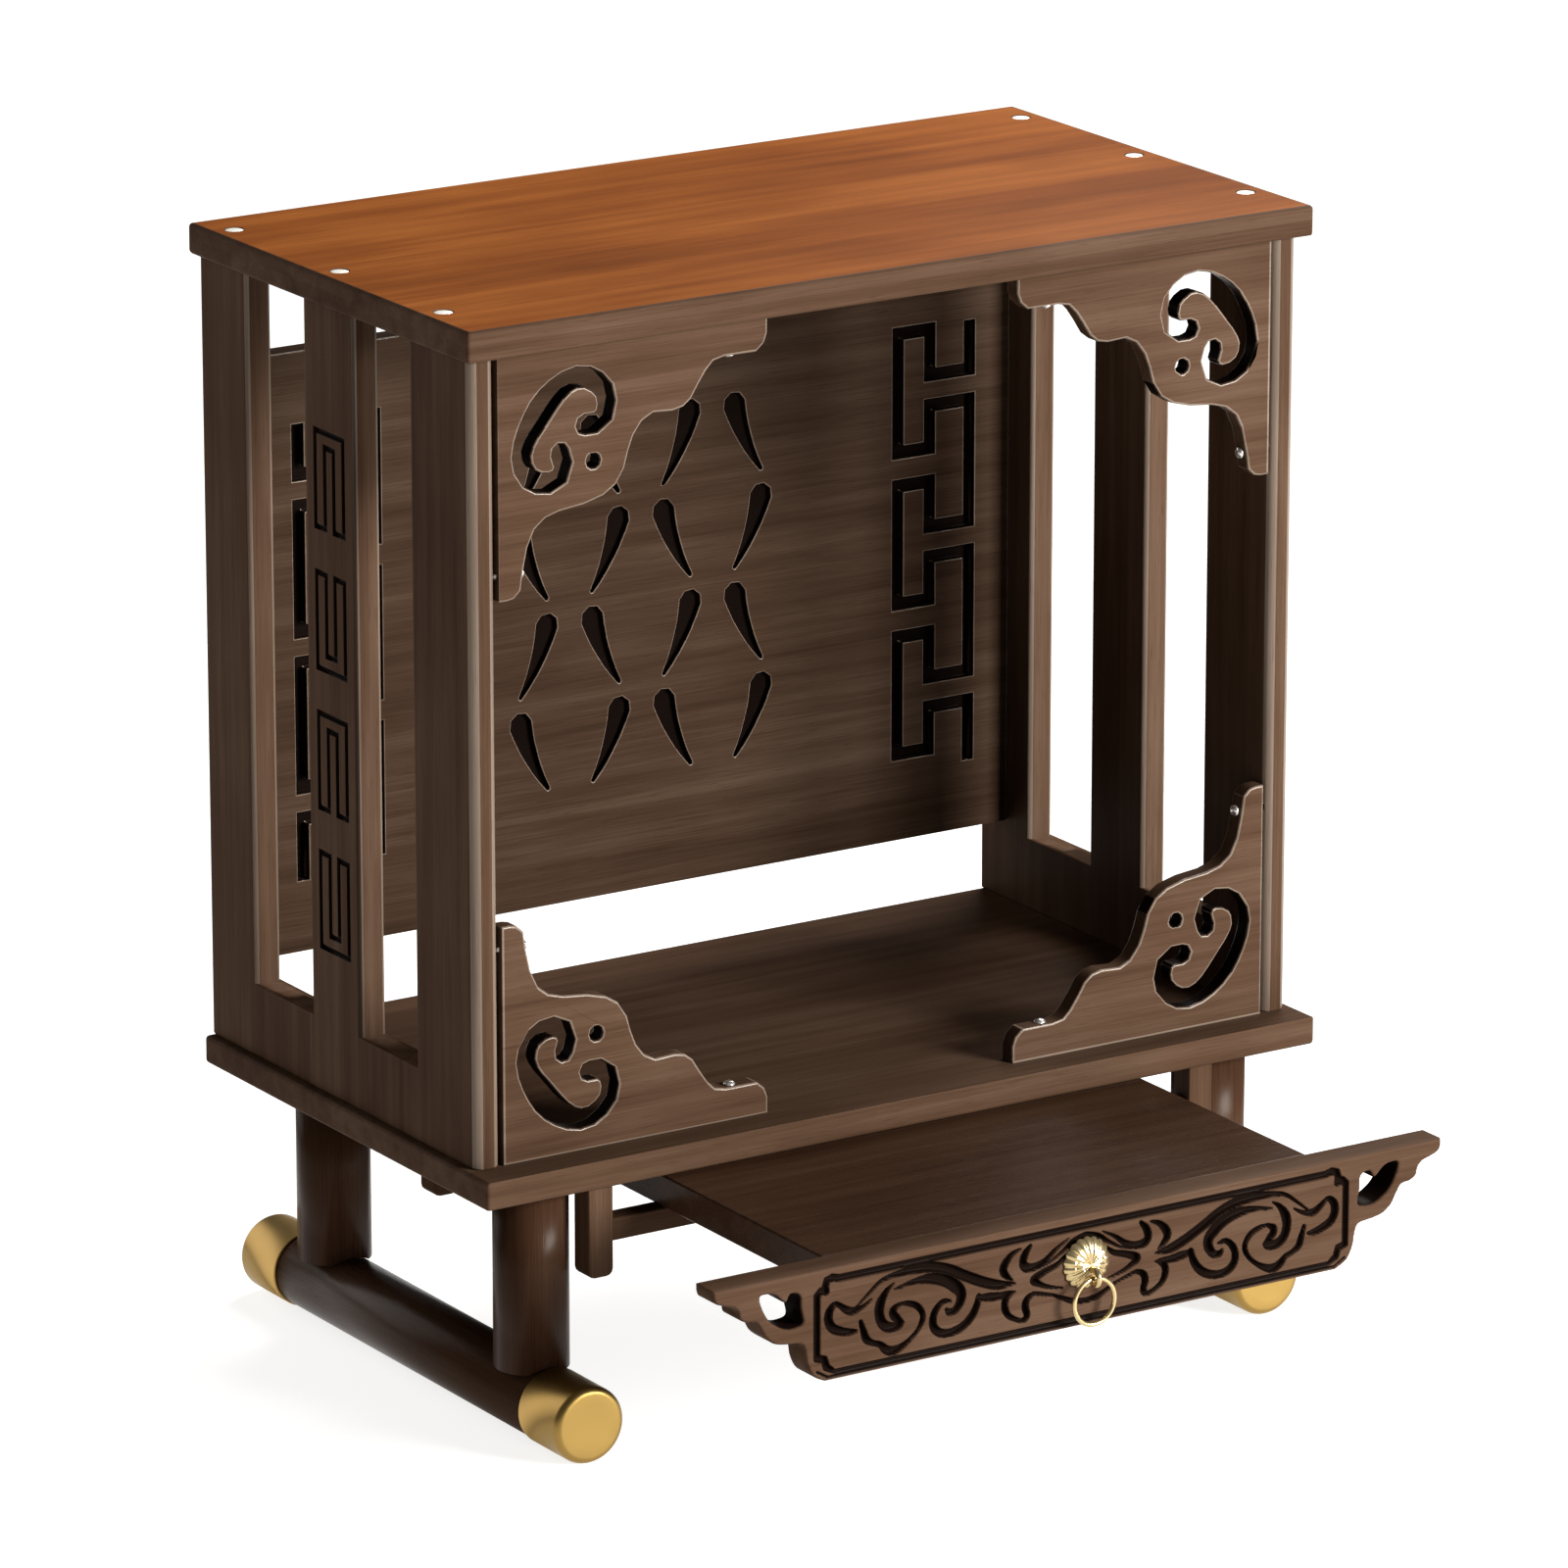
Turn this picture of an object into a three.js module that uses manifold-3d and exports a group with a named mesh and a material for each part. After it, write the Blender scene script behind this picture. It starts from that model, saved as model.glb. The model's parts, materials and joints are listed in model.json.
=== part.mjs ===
// A table-top altar: an open cabinet of dark stained wood with slotted sides, pierced corner
// brackets and a carved back, standing on two round runners with brass end caps.
// An offering tray slides out below the cabinet on two crossbars.
// Millimetres, +Z up. +Y points to the back, and X = 0 is the plane of symmetry.
import * as THREE from 'three';
import { mergeVertices } from 'three/addons/utils/BufferGeometryUtils.js';
import Module from 'manifold-3d';

const wasm = await Module();
wasm.setup();

// Fits
const GAP = 0.3;                 // between two pieces that fit into each other
const SEAM = 1.0;                // the dark joint round each bracket
const SLIDE_PLAY = 0.5;          // between the tray and what guides it
const HEAD_CLEARANCE = 0.05;     // between a bracket and the heads of its screws

// Boards
const TOP = { width: 400, depth: 220, thickness: 12.8 };
const BASE = { width: 400, depth: 226.8, thickness: 12, overhangFront: 9.2 };
const INSIDE_HEIGHT = 330.3;     // from the base board to the top board

// Slotted side panels
const SIDE = {
  thickness: 12, setIn: 3.8, front: 5.5, back: 218.2, railHeight: 31,
  slots: [[52, 95], [135, 180]], noseRadius: 5, arrisRadius: 2.5,
};
const KEY = { width: 22, height: 39.5, leg: 7.5, bridge: 6, line: 1.7, depth: 1.4, top: 277, pitch: 58.5, count: 4 };

// Back panel
const BACK = { front: 197, thickness: 11, bottom: 35.5, top: 289.5 };
const FRET = { inset: 20.7, hook: 20, bulge: 36, line: 5.5, depth: 4.5, pitch: 66.2 };
const STROKE = {
  columns: 4, rows: 4, pitchX: 35, pitchZ: 41, length: 32, width: 10.5, foot: 1.6, bow: 6, lean: 24, depth: 2.6,
};

// Corner brackets
const BRACKET = { front: 6, thickness: 8, arm: 124, leg: 99, band: 7.8, swell: 3.6, eye: 3.1 };
const BRACKET_SCREW = { headRadius: 2.5, headHeight: 1.6, shankRadius: 1.4, bite: 7, fromLegTip: 10, fromArmTip: 16 };
const TOP_SCREW = { headRadius: 3.75, headHeight: 2.4, shankRadius: 1.7, bite: 13, frontSetBack: 6 };

// Feet: round runners with brass caps, and posts that stand on them in shallow saddles
const RUNNER = { radius: 15.5, front: -28.2, back: 226, setIn: 35.5, spigot: 14.6 };
const CAP = { radius: 16.2, length: 29.4, rimRadius: 3, floor: 1.5 };
const POST = { radius: 15.5, foot: 13, places: [17, 174] };   // foot: above the runner's axis
const LEG_HEIGHT = 106.8;        // from the ground to the underside of the base board
const ROUND_SIDES = 24;
const END_STEPS = 4;             // in each half circle that ends a carved band

// Tray with its shaped front
const TRAY = { width: 231.6, thickness: 13.5, drop: 1.0, back: 70 };
const FRONT = { width: 347, height: 46.5, thickness: 12.9, face: -134.6 };
const FRAME_LINE = { fromTip: 47.5, fromTop: 5, fromBottom: 3.1, notch: 7, line: 2.3, depth: 1.6 };
const CARVING = { line: 1.5, depth: 1.8 };

// Ring pull
const BOSS = { radius: 11, height: 4.5, petals: 14, z: -20 };
const EYE = { wire: 1.2, radius: 3.1, below: 4.5 };
const RING = { outer: 10.5, wire: 0.95, play: 0.25 };

// Guides under the base board
const HANGER = { width: 11.5, depth: 11.5, setIn: 49, bottomRadius: 3, below: 14, front: -5.5, rear: 115 };
const CROSSBAR = { height: 9.5, depth: 9.5 };

const COLOURS = {
  wood: 0x4a3a31, top: 0x8a4b28, brass: 0xc9a04e, steel: 0xb9b3a8,
};

// Levels and places worked out from the sizes above
const baseTop = LEG_HEIGHT + BASE.thickness;
const topUnderside = baseTop + INSIDE_HEIGHT;
const sideOuter = TOP.width / 2 - SIDE.setIn;
const sideInner = sideOuter - SIDE.thickness;
const uprights = [SIDE.front, ...SIDE.slots.flat(), SIDE.back];   // front and back of each in turn
const backMiddle = baseTop + (BACK.bottom + BACK.top) / 2;
const legScrewAt = BRACKET.leg - BRACKET_SCREW.fromLegTip;
const armScrewAt = BRACKET.arm - BRACKET_SCREW.fromArmTip;
const capFlat = CAP.radius * Math.cos(Math.PI / ROUND_SIDES);
const runnerZ = capFlat;
const runnerX = BASE.width / 2 - RUNNER.setIn;
const hangerX = BASE.width / 2 - HANGER.setIn;
const trayTop = LEG_HEIGHT - TRAY.drop;
const trayUnderside = trayTop - TRAY.thickness;
const barTop = trayUnderside - SLIDE_PLAY;
const frontBack = FRONT.face + FRONT.thickness;
const frameHalf = FRONT.width / 2 - FRAME_LINE.fromTip;

function material(kind) {
  const metal = kind === 'brass' || kind === 'steel';
  return new THREE.MeshStandardMaterial({
    color: COLOURS[kind], roughness: metal ? 0.3 : 0.5, metalness: metal ? 1 : 0,
  });
}

// Solids and booleans

function solidOf(geometry) {
  if (geometry instanceof wasm.Manifold) return geometry;
  const bare = geometry.index ? geometry.toNonIndexed() : geometry.clone();
  bare.deleteAttribute('normal');
  bare.deleteAttribute('uv');
  const merged = mergeVertices(bare, 1e-4);
  return new wasm.Manifold(new wasm.Mesh({
    numProp: 3,
    vertProperties: Float32Array.from(merged.attributes.position.array),
    triVerts: Uint32Array.from(merged.index.array),
  }));
}

function geometryOf(solid) {
  const mesh = solid.getMesh();
  const geometry = new THREE.BufferGeometry();
  geometry.setAttribute('position', new THREE.BufferAttribute(Float32Array.from(mesh.vertProperties), 3));
  geometry.setIndex(new THREE.BufferAttribute(Uint32Array.from(mesh.triVerts), 1));
  geometry.computeVertexNormals();
  return geometry;
}

function cut(geometry, cutters) {
  return geometryOf(cutters.reduce((solid, cutter) => solid.subtract(solidOf(cutter)), solidOf(geometry)));
}

function join(geometries) {
  return geometries.map(solidOf).reduce((all, solid) => all.add(solid));
}

function box(x0, x1, y0, y1, z0, z1) {
  return new THREE.BoxGeometry(x1 - x0, y1 - y0, z1 - z0)
    .translate((x0 + x1) / 2, (y0 + y1) / 2, (z0 + z1) / 2);
}

// A flat shape drawn in X and Z, standing with its face at y = front.
function upright(shape, front, thickness) {
  return new THREE.ExtrudeGeometry(shape, { depth: thickness, bevelEnabled: false })
    .rotateX(Math.PI / 2)
    .translate(0, front + thickness, 0);
}

function vectors(points) {
  return points.map(([x, y]) => new THREE.Vector2(x, y));
}

// A closed polygon as a shape, run counter-clockwise, with any holes.
function polygon(points, holes = []) {
  const outline = vectors(points);
  const shape = new THREE.Shape(THREE.ShapeUtils.area(outline) < 0 ? outline.reverse() : outline);
  shape.holes = holes.map((hole) => new THREE.Path(vectors(hole)));
  return shape;
}

// Points along an arc, from one angle to another in degrees.
function arc(cx, cy, radius, from, to, steps) {
  return Array.from({ length: steps + 1 }, (_, i) => {
    const angle = THREE.MathUtils.degToRad(from + ((to - from) * i) / steps);
    return [cx + radius * Math.cos(angle), cy + radius * Math.sin(angle)];
  });
}

// A round bar along +Z from z = 0, with one flat facing -Y.
function bar(radius, length, sides) {
  return new THREE.CylinderGeometry(radius, radius, length, sides)
    .rotateX(Math.PI / 2)
    .rotateZ(Math.PI / sides)
    .translate(0, 0, length / 2);
}

// A line of even width along points, with mitred corners; the ends are square, or the line is closed.
function ribbon(points, width, closed = false) {
  const count = points.length;
  const side = (sign) => points.map((point, index) => {
    const before = points[closed ? (index + count - 1) % count : Math.max(index - 1, 0)];
    const after = points[closed ? (index + 1) % count : Math.min(index + 1, count - 1)];
    const into = new THREE.Vector2(point[0] - before[0], point[1] - before[1]);
    const out = new THREE.Vector2(after[0] - point[0], after[1] - point[1]);
    if (into.length() === 0) into.copy(out);
    if (out.length() === 0) out.copy(into);
    into.normalize();
    out.normalize();
    const along = into.clone().add(out).normalize();
    const reach = (sign * width) / 2 / Math.max(along.dot(into), 0.5);
    return [point[0] - along.y * reach, point[1] + along.x * reach];
  });
  if (!closed) return polygon([...side(1), ...side(-1).reverse()]);
  const outwards = THREE.ShapeUtils.area(vectors(points)) > 0 ? -1 : 1;
  return polygon(side(outwards), [side(-outwards)]);
}

// Points round a band's end, from its left side to its right, or the other way from a start of half a turn.
function roundEnd(at, along, half, start) {
  return Array.from({ length: END_STEPS - 1 }, (_, i) => {
    const turn = start + (Math.PI * (i + 1)) / END_STEPS;
    return [
      at.x + half * (along.x * Math.sin(turn) - along.y * Math.cos(turn)),
      at.y + half * (along.y * Math.sin(turn) + along.x * Math.cos(turn)),
    ];
  });
}

// A band along a smooth curve whose half-width follows a function of the way along it, from 0 to 1.
function swelling(points, halfWidth, steps, rounded = false) {
  const curve = new THREE.SplineCurve(vectors(points));
  const left = [];
  const right = [];
  for (let step = 0; step <= steps; step += 1) {
    const t = step / steps;
    const at = curve.getPointAt(t);
    const along = curve.getTangentAt(t);
    const half = halfWidth(t);
    left.push([at.x - along.y * half, at.y + along.x * half]);
    right.push([at.x + along.y * half, at.y - along.x * half]);
  }
  if (!rounded) return [...left, ...right.reverse()];
  const far = roundEnd(curve.getPointAt(1), curve.getTangentAt(1), halfWidth(1), 0);
  const near = roundEnd(curve.getPointAt(0), curve.getTangentAt(0), halfWidth(0), Math.PI);
  return [...left, ...far, ...right.reverse(), ...near];
}

function mirrored(points) {
  return points.map(([x, y]) => [-x, y]).reverse();
}

// Pieces

function screwShape(screw, length, countersunk) {
  const profile = countersunk
    ? [[0, -length], [screw.shankRadius, -length], [screw.shankRadius, -screw.headHeight],
      [screw.headRadius, -screw.headHeight / 3], [screw.headRadius, 0], [0, 0]]
    : [[0, -length], [screw.shankRadius, -length], [screw.shankRadius, 0], [screw.headRadius, 0],
      [screw.headRadius * 0.72, screw.headHeight * 0.75], [0, screw.headHeight]];
  return new THREE.LatheGeometry(vectors(profile), 8)
    .rotateX(Math.PI / 2);
}

// One screw into each upright, the foremost set back a little.
function topScrewPlaces() {
  const places = [0, 2, 4].map((i) => (uprights[i] + uprights[i + 1]) / 2 + (i ? 0 : TOP_SCREW.frontSetBack));
  return [-1, 1].flatMap((side) => places.map((y) => ({ x: side * (sideOuter + sideInner) / 2, y })));
}

const topScrewLength = TOP.thickness + TOP_SCREW.bite;
const topScrewHole = {
  ...TOP_SCREW,
  headRadius: TOP_SCREW.headRadius + GAP,
  shankRadius: TOP_SCREW.shankRadius + GAP,
  headHeight: TOP_SCREW.headHeight + GAP,
};

function topBoard() {
  const board = box(-TOP.width / 2, TOP.width / 2, 0, TOP.depth, topUnderside, topUnderside + TOP.thickness);
  const holes = topScrewPlaces().map((place) => bar(topScrewHole.headRadius, TOP.thickness * 3, 10)
    .translate(place.x, place.y, topUnderside + TOP.thickness - topScrewHole.headHeight));
  const shanks = topScrewPlaces().map((place) => bar(topScrewHole.shankRadius, TOP.thickness * 3, 8)
    .translate(place.x, place.y, topUnderside - TOP.thickness));
  return cut(board, [...holes, ...shanks, ...armScrewHoles(topUnderside)]);
}

// Blind holes for the two bracket screws that go into a board, from both sides of its level face.
function armScrewHoles(level) {
  const depth = BRACKET_SCREW.bite + GAP;
  return [-1, 1].map((side) => bar(BRACKET_SCREW.shankRadius + GAP, depth * 2, 6)
    .translate(side * bracketScrewX(), BRACKET.front + BRACKET.thickness / 2, level - depth));
}

// The level cross-section of one upright, with a rounded nose at the front of the foremost one.
function uprightSection(x0, x1, y0, y1, front) {
  const back = SIDE.arrisRadius;
  return polygon([
    ...arc(x1 - front, y0 + front, front, -90, 0, 5),
    ...arc(x1 - back, y1 - back, back, 0, 90, 3),
    ...arc(x0 + back, y1 - back, back, 90, 180, 3),
    ...arc(x0 + front, y0 + front, front, 180, 270, 5),
  ]);
}

// The outline of one engraved key; an upside-down one opens downwards.
function keyOutline(top, opensUp) {
  const { width, height, leg, bridge } = KEY;
  const half = width / 2;
  const slot = half - leg;
  const points = [
    [-half, 0], [half, 0], [half, -height], [slot, -height], [slot, -bridge],
    [-slot, -bridge], [-slot, -height], [-half, -height],
  ];
  const middle = (uprights[2] + uprights[3]) / 2;
  return points.map(([y, z]) => [middle + y, top + (opensUp ? -height - z : z)]);
}

function sidePanel(side) {
  const x0 = side > 0 ? sideInner : -sideOuter;
  const x1 = side > 0 ? sideOuter : -sideInner;
  const parts = [];
  for (let i = 0; i < uprights.length; i += 2) {
    const section = uprightSection(x0, x1, uprights[i], uprights[i + 1], i ? SIDE.arrisRadius : SIDE.noseRadius);
    parts.push(new THREE.ExtrudeGeometry(section, { depth: INSIDE_HEIGHT, bevelEnabled: false })
      .translate(0, 0, baseTop));
  }
  parts.push(box(x0, x1, SIDE.front + SIDE.noseRadius, SIDE.back - SIDE.arrisRadius,
    baseTop, baseTop + SIDE.railHeight));
  const keys = Array.from({ length: KEY.count }, (_, i) => upright(
    ribbon(keyOutline(baseTop + KEY.top - i * KEY.pitch, i % 2 === 1), KEY.line, true), 0, KEY.depth * 2,
  ).rotateZ(Math.PI / 2).translate(side * sideOuter + KEY.depth, 0, 0));
  const topHoles = topScrewPlaces().filter(({ x }) => x * side > 0).map(({ x, y }) => bar(
    topScrewHole.shankRadius, TOP_SCREW.bite + GAP + TOP.thickness, 8,
  ).translate(x, y, topUnderside - TOP_SCREW.bite - GAP));
  const legHoles = [baseTop + legScrewAt, topUnderside - legScrewAt]
    .map((z) => bar(BRACKET_SCREW.shankRadius + GAP, (BRACKET_SCREW.bite + GAP) * 2, 6)
      .translate(0, 0, -(BRACKET_SCREW.bite + GAP))
      .rotateY(Math.PI / 2)
      .translate(side * sideInner, BRACKET.front + BRACKET.thickness / 2, z));
  return cut(join(parts), [...keys, ...topHoles, ...legHoles]);
}

function baseBoard() {
  const board = box(-BASE.width / 2, BASE.width / 2, -BASE.overhangFront, BASE.depth - BASE.overhangFront,
    LEG_HEIGHT, baseTop);
  return cut(board, armScrewHoles(baseTop));
}

function bracketScrewX() {
  return sideInner - SEAM - armScrewAt;
}

// One meander as a single run of corners, from its open top end to its open bottom end.
function fretPath(side) {
  const outer = sideInner - FRET.inset;
  const middle = outer - FRET.hook;
  const inner = outer - FRET.bulge;
  const turn = [
    [outer, 0.14], [middle, 0.14], [middle, 0.44], [inner, 0.44],
    [inner, -0.34], [middle, -0.34], [middle, -0.06], [outer, -0.06],
  ];
  const turns = [1, 0, -1].flatMap((k) => turn.map(([x, share]) => [x, share + k]));
  return [[outer, 1.46], ...turns, [outer, -1.46]]
    .map(([x, share]) => [side * x, backMiddle + share * FRET.pitch]);
}

// One brush-like dab: thin at its foot, widening to a round head, and leaning.
function dab(x, z, lean) {
  const along = THREE.MathUtils.degToRad(lean);
  const spine = [-0.5, -0.2, 0.2, 0.5].map((t) => {
    const bow = (0.25 - t * t) * STROKE.bow * Math.sign(lean);
    return [
      x + Math.sin(along) * t * STROKE.length + Math.cos(along) * bow,
      z + Math.cos(along) * t * STROKE.length - Math.sin(along) * bow,
    ];
  });
  const halfWidth = (t) => (STROKE.foot + (STROKE.width - STROKE.foot) * t) / 2;
  return polygon(swelling(spine, halfWidth, 6, true));
}

function dabs() {
  const shapes = [];
  for (let row = 0; row < STROKE.rows; row += 1) {
    for (let column = 0; column < STROKE.columns; column += 1) {
      const x = (column - (STROKE.columns - 1) / 2) * STROKE.pitchX;
      const z = backMiddle + ((STROKE.rows - 1) / 2 - row) * STROKE.pitchZ;
      shapes.push(dab(x, z, (row + column) % 2 ? -STROKE.lean : STROKE.lean));
    }
  }
  return shapes;
}

function backPanel() {
  const panel = box(-sideInner, sideInner, BACK.front, BACK.front + BACK.thickness,
    baseTop + BACK.bottom, baseTop + BACK.top);
  const frets = [-1, 1].map((side) => upright(ribbon(fretPath(side), FRET.line),
    BACK.front - FRET.depth, FRET.depth * 2));
  const strokes = dabs().map((shape) => upright(shape, BACK.front - STROKE.depth, STROKE.depth * 2));
  return cut(panel, [...frets, ...strokes]);
}

// A corner bracket, drawn with u away from the side panel, as shares of its arm,
// and v away from the board that it sits on, as shares of its leg.
function bracketOutline() {
  return [
    [0, 0], [1, 0], [1, 0.071], [0.988, 0.111], [0.96, 0.141], [0.839, 0.141],
    [0.798, 0.152], [0.77, 0.187], [0.742, 0.237], [0.714, 0.293], [0.685, 0.321], [0.645, 0.331],
    [0.573, 0.326], [0.532, 0.352], [0.5, 0.404], [0.481, 0.465], [0.465, 0.535], [0.434, 0.594],
    [0.387, 0.631], [0.315, 0.655], [0.226, 0.667], [0.173, 0.686], [0.133, 0.725], [0.107, 0.793],
    [0.09, 0.889], [0.081, 0.965], [0.056, 0.994], [0.032, 1], [0, 1],
  ].map(([u, v]) => [u * BRACKET.arm, v * BRACKET.leg]);
}

// The pierced scroll: a band with round ends that hooks at both and swells in the middle.
function scrollHole() {
  const spine = [
    [0.228, 0.43], [0.24, 0.488], [0.215, 0.536], [0.16, 0.542], [0.105, 0.5], [0.086, 0.42],
    [0.105, 0.345], [0.142, 0.272], [0.18, 0.213], [0.235, 0.158], [0.29, 0.134], [0.342, 0.146],
    [0.392, 0.2], [0.4, 0.28], [0.37, 0.326], [0.32, 0.33],
  ].map(([u, v]) => [u * BRACKET.arm, v * BRACKET.leg]);
  const halfWidth = (t) => (BRACKET.band + BRACKET.swell * Math.exp(-(((t - 0.5) / 0.12) ** 2))) / 2;
  return swelling(spine, halfWidth, 22, true);
}

function bracket(side, upper) {
  const place = ([u, v]) => [side * (sideInner - SEAM - u), upper ? topUnderside - v : baseTop + v];
  const holes = [scrollHole(), arc(BRACKET.arm * 0.35, BRACKET.leg * 0.482, BRACKET.eye, 0, 324, 9)];
  const shape = polygon(bracketOutline().map(place), holes.map((hole) => hole.map(place)));
  const [legX, legZ] = place([0, legScrewAt]);
  const [armX, armZ] = place([armScrewAt, 0]);
  const y = BRACKET.front + BRACKET.thickness / 2;
  const hole = () => bar(BRACKET_SCREW.shankRadius + GAP, 40, 6).translate(0, 0, -20);
  return cut(upright(shape, BRACKET.front, BRACKET.thickness), [
    hole().rotateY(Math.PI / 2).translate(legX, y, legZ),
    hole().translate(armX, y, armZ),
  ]);
}

// How far the bracket's inner edge stands off under a screw head: axis 0 gives u at a height v,
// and axis 1 gives v at a distance u.
function seatFor(axis, centre) {
  const outline = bracketOutline();
  const reach = (at) => Math.max(...outline.slice(1).map((point, index) => {
    const from = outline[index];
    const [low, high] = [from[1 - axis], point[1 - axis]];
    if ((low - at) * (high - at) > 0 || low === high) return 0;
    return from[axis] + ((point[axis] - from[axis]) * (at - low)) / (high - low);
  }));
  const radius = BRACKET_SCREW.headRadius;
  return Math.max(reach(centre - radius), reach(centre), reach(centre + radius)) + HEAD_CLEARANCE;
}

// The screw through a bracket's leg goes into the side panel, the one through its arm into the board.
function bracketScrews(side, upper) {
  const reach = BRACKET_SCREW.bite + SEAM;
  const y = BRACKET.front + BRACKET.thickness / 2;
  const legThickness = seatFor(0, legScrewAt);
  const armThickness = seatFor(1, armScrewAt);
  const legZ = upper ? topUnderside - legScrewAt : baseTop + legScrewAt;
  const leg = screwShape(BRACKET_SCREW, legThickness + reach, false)
    .rotateY(-side * Math.PI / 2)
    .translate(side * (sideInner - SEAM - legThickness), y, legZ);
  const arm = screwShape(BRACKET_SCREW, armThickness + reach - SEAM, false);
  if (upper) arm.rotateX(Math.PI);
  arm.translate(side * bracketScrewX(), y, upper ? topUnderside - armThickness : baseTop + armThickness);
  return { leg, arm };
}

function runner(side) {
  const turned = [
    [0, RUNNER.front + CAP.floor + GAP], [RUNNER.spigot, RUNNER.front + CAP.floor + GAP],
    [RUNNER.spigot, RUNNER.front + CAP.length], [RUNNER.radius, RUNNER.front + CAP.length + GAP],
    [RUNNER.radius, RUNNER.back - CAP.length - GAP], [RUNNER.spigot, RUNNER.back - CAP.length],
    [RUNNER.spigot, RUNNER.back - CAP.floor - GAP], [0, RUNNER.back - CAP.floor - GAP],
  ];
  return lying(turned, side);
}

// A turned profile of radius and y, lying along the runner's axis with a flat facing down.
function lying(profile, side) {
  return new THREE.LatheGeometry(vectors(profile), ROUND_SIDES)
    .rotateY(Math.PI / ROUND_SIDES)
    .translate(side * runnerX, 0, runnerZ);
}

function cap(side, atFront) {
  const bore = RUNNER.spigot + GAP;
  const rim = CAP.rimRadius;
  const profile = [[0, 0], [CAP.radius - rim, 0]];
  for (let step = 1; step <= 3; step += 1) {
    const angle = (step * Math.PI) / 6;
    profile.push([CAP.radius - rim + rim * Math.sin(angle), rim - rim * Math.cos(angle)]);
  }
  profile.push([CAP.radius, CAP.length], [bore, CAP.length], [bore, CAP.floor], [0, CAP.floor]);
  if (atFront) return lying(profile.map(([r, y]) => [r, RUNNER.front + y]), side);
  return lying(profile.map(([r, y]) => [r, RUNNER.back - y]).reverse(), side);
}

function post(side, y) {
  const foot = runnerZ + POST.foot;
  const leg = bar(POST.radius, LEG_HEIGHT - foot, ROUND_SIDES).translate(side * runnerX, y, foot);
  const saddle = bar(RUNNER.radius + GAP, POST.radius * 4, ROUND_SIDES)
    .translate(0, 0, -POST.radius * 2)
    .rotateX(Math.PI / 2)
    .translate(side * runnerX, y, runnerZ);
  return cut(leg, [saddle]);
}

// Half of the tray front's outline: distance in from the wing's tip, and share of the height below the top.
const FRONT_HALF = [
  [0, 0], [0, 0.054], [4, 0.127], [9, 0.17], [11.3, 0.226], [12.1, 0.292],
  [15, 0.331], [19.3, 0.348], [22, 0.43], [24.1, 0.508], [28, 0.574], [33, 0.602],
  [40, 0.624], [41.9, 0.688], [43, 0.817], [46, 0.935], [51.5, 1],
];
const WING_HOLE = [
  [39.5, 0.194], [35.5, 0.161], [33, 0.23], [28.5, 0.151], [25, 0.125], [21.5, 0.135],
  [22.5, 0.237], [26, 0.366], [32.5, 0.456], [38, 0.465], [41, 0.43], [39.9, 0.301],
];

// The carved leaf scroll right of the boss. Each line has a width as a share of CARVING.line, and points
// as shares of the frame's half-width and of the front's height.
const SCROLL_LINES = [
  {
    width: 1.5,
    points: [
      [0.271, 0.48], [0.341, 0.46], [0.413, 0.37], [0.5, 0.241], [0.603, 0.185], [0.714, 0.194],
      [0.802, 0.284], [0.853, 0.396], [0.897, 0.4], [0.933, 0.323], [0.959, 0.396], [0.957, 0.503],
      [0.921, 0.572], [0.876, 0.568],
    ],
  },
  {
    width: 1.6,
    points: [
      [0.67, 0.594], [0.727, 0.632], [0.765, 0.559], [0.775, 0.43], [0.737, 0.31], [0.659, 0.271],
      [0.571, 0.284], [0.503, 0.357], [0.47, 0.482], [0.476, 0.585], [0.503, 0.619],
    ],
  },
  {
    width: 2,
    points: [
      [0.503, 0.52], [0.535, 0.503], [0.563, 0.568], [0.573, 0.675], [0.551, 0.778], [0.497, 0.796],
      [0.446, 0.723], [0.416, 0.619], [0.411, 0.525],
    ],
  },
  {
    width: 1.5,
    points: [
      [0.675, 0.585], [0.64, 0.508], [0.614, 0.602], [0.635, 0.71], [0.698, 0.809], [0.757, 0.809],
      [0.806, 0.688], [0.844, 0.568],
    ],
  },
  {
    width: 1.3,
    points: [
      [0.115, 0.254], [0.162, 0.34], [0.208, 0.383], [0.23, 0.331], [0.216, 0.189], [0.262, 0.189],
      [0.302, 0.271], [0.311, 0.37], [0.273, 0.469],
    ],
  },
  {
    width: 1.3,
    points: [
      [0.119, 0.606], [0.175, 0.589], [0.225, 0.637], [0.24, 0.723], [0.222, 0.817], [0.27, 0.809],
      [0.302, 0.71], [0.303, 0.615], [0.27, 0.559], [0.397, 0.555],
    ],
  },
  {
    width: 1.2,
    points: [
      [0.111, 0.387], [0.163, 0.434], [0.195, 0.486], [0.167, 0.542], [0.116, 0.581],
    ],
  },
];

// The groove that frames the carving, stepped inwards at its corners.
function framePath() {
  const { fromTop: top, notch } = FRAME_LINE;
  const x = frameHalf;
  const bottom = FRONT.height - FRAME_LINE.fromBottom;
  const corner = (sx, v, sv) => [
    [sx * x, v + sv * notch], [sx * (x - notch * 0.45), v + sv * notch * 0.85],
    [sx * (x - notch * 0.55), v + sv * notch * 0.4], [sx * (x - notch), v],
  ];
  return [
    ...corner(1, top, 1), ...corner(-1, top, 1).reverse(),
    ...corner(-1, bottom, -1), ...corner(1, bottom, -1).reverse(),
  ];
}

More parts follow.
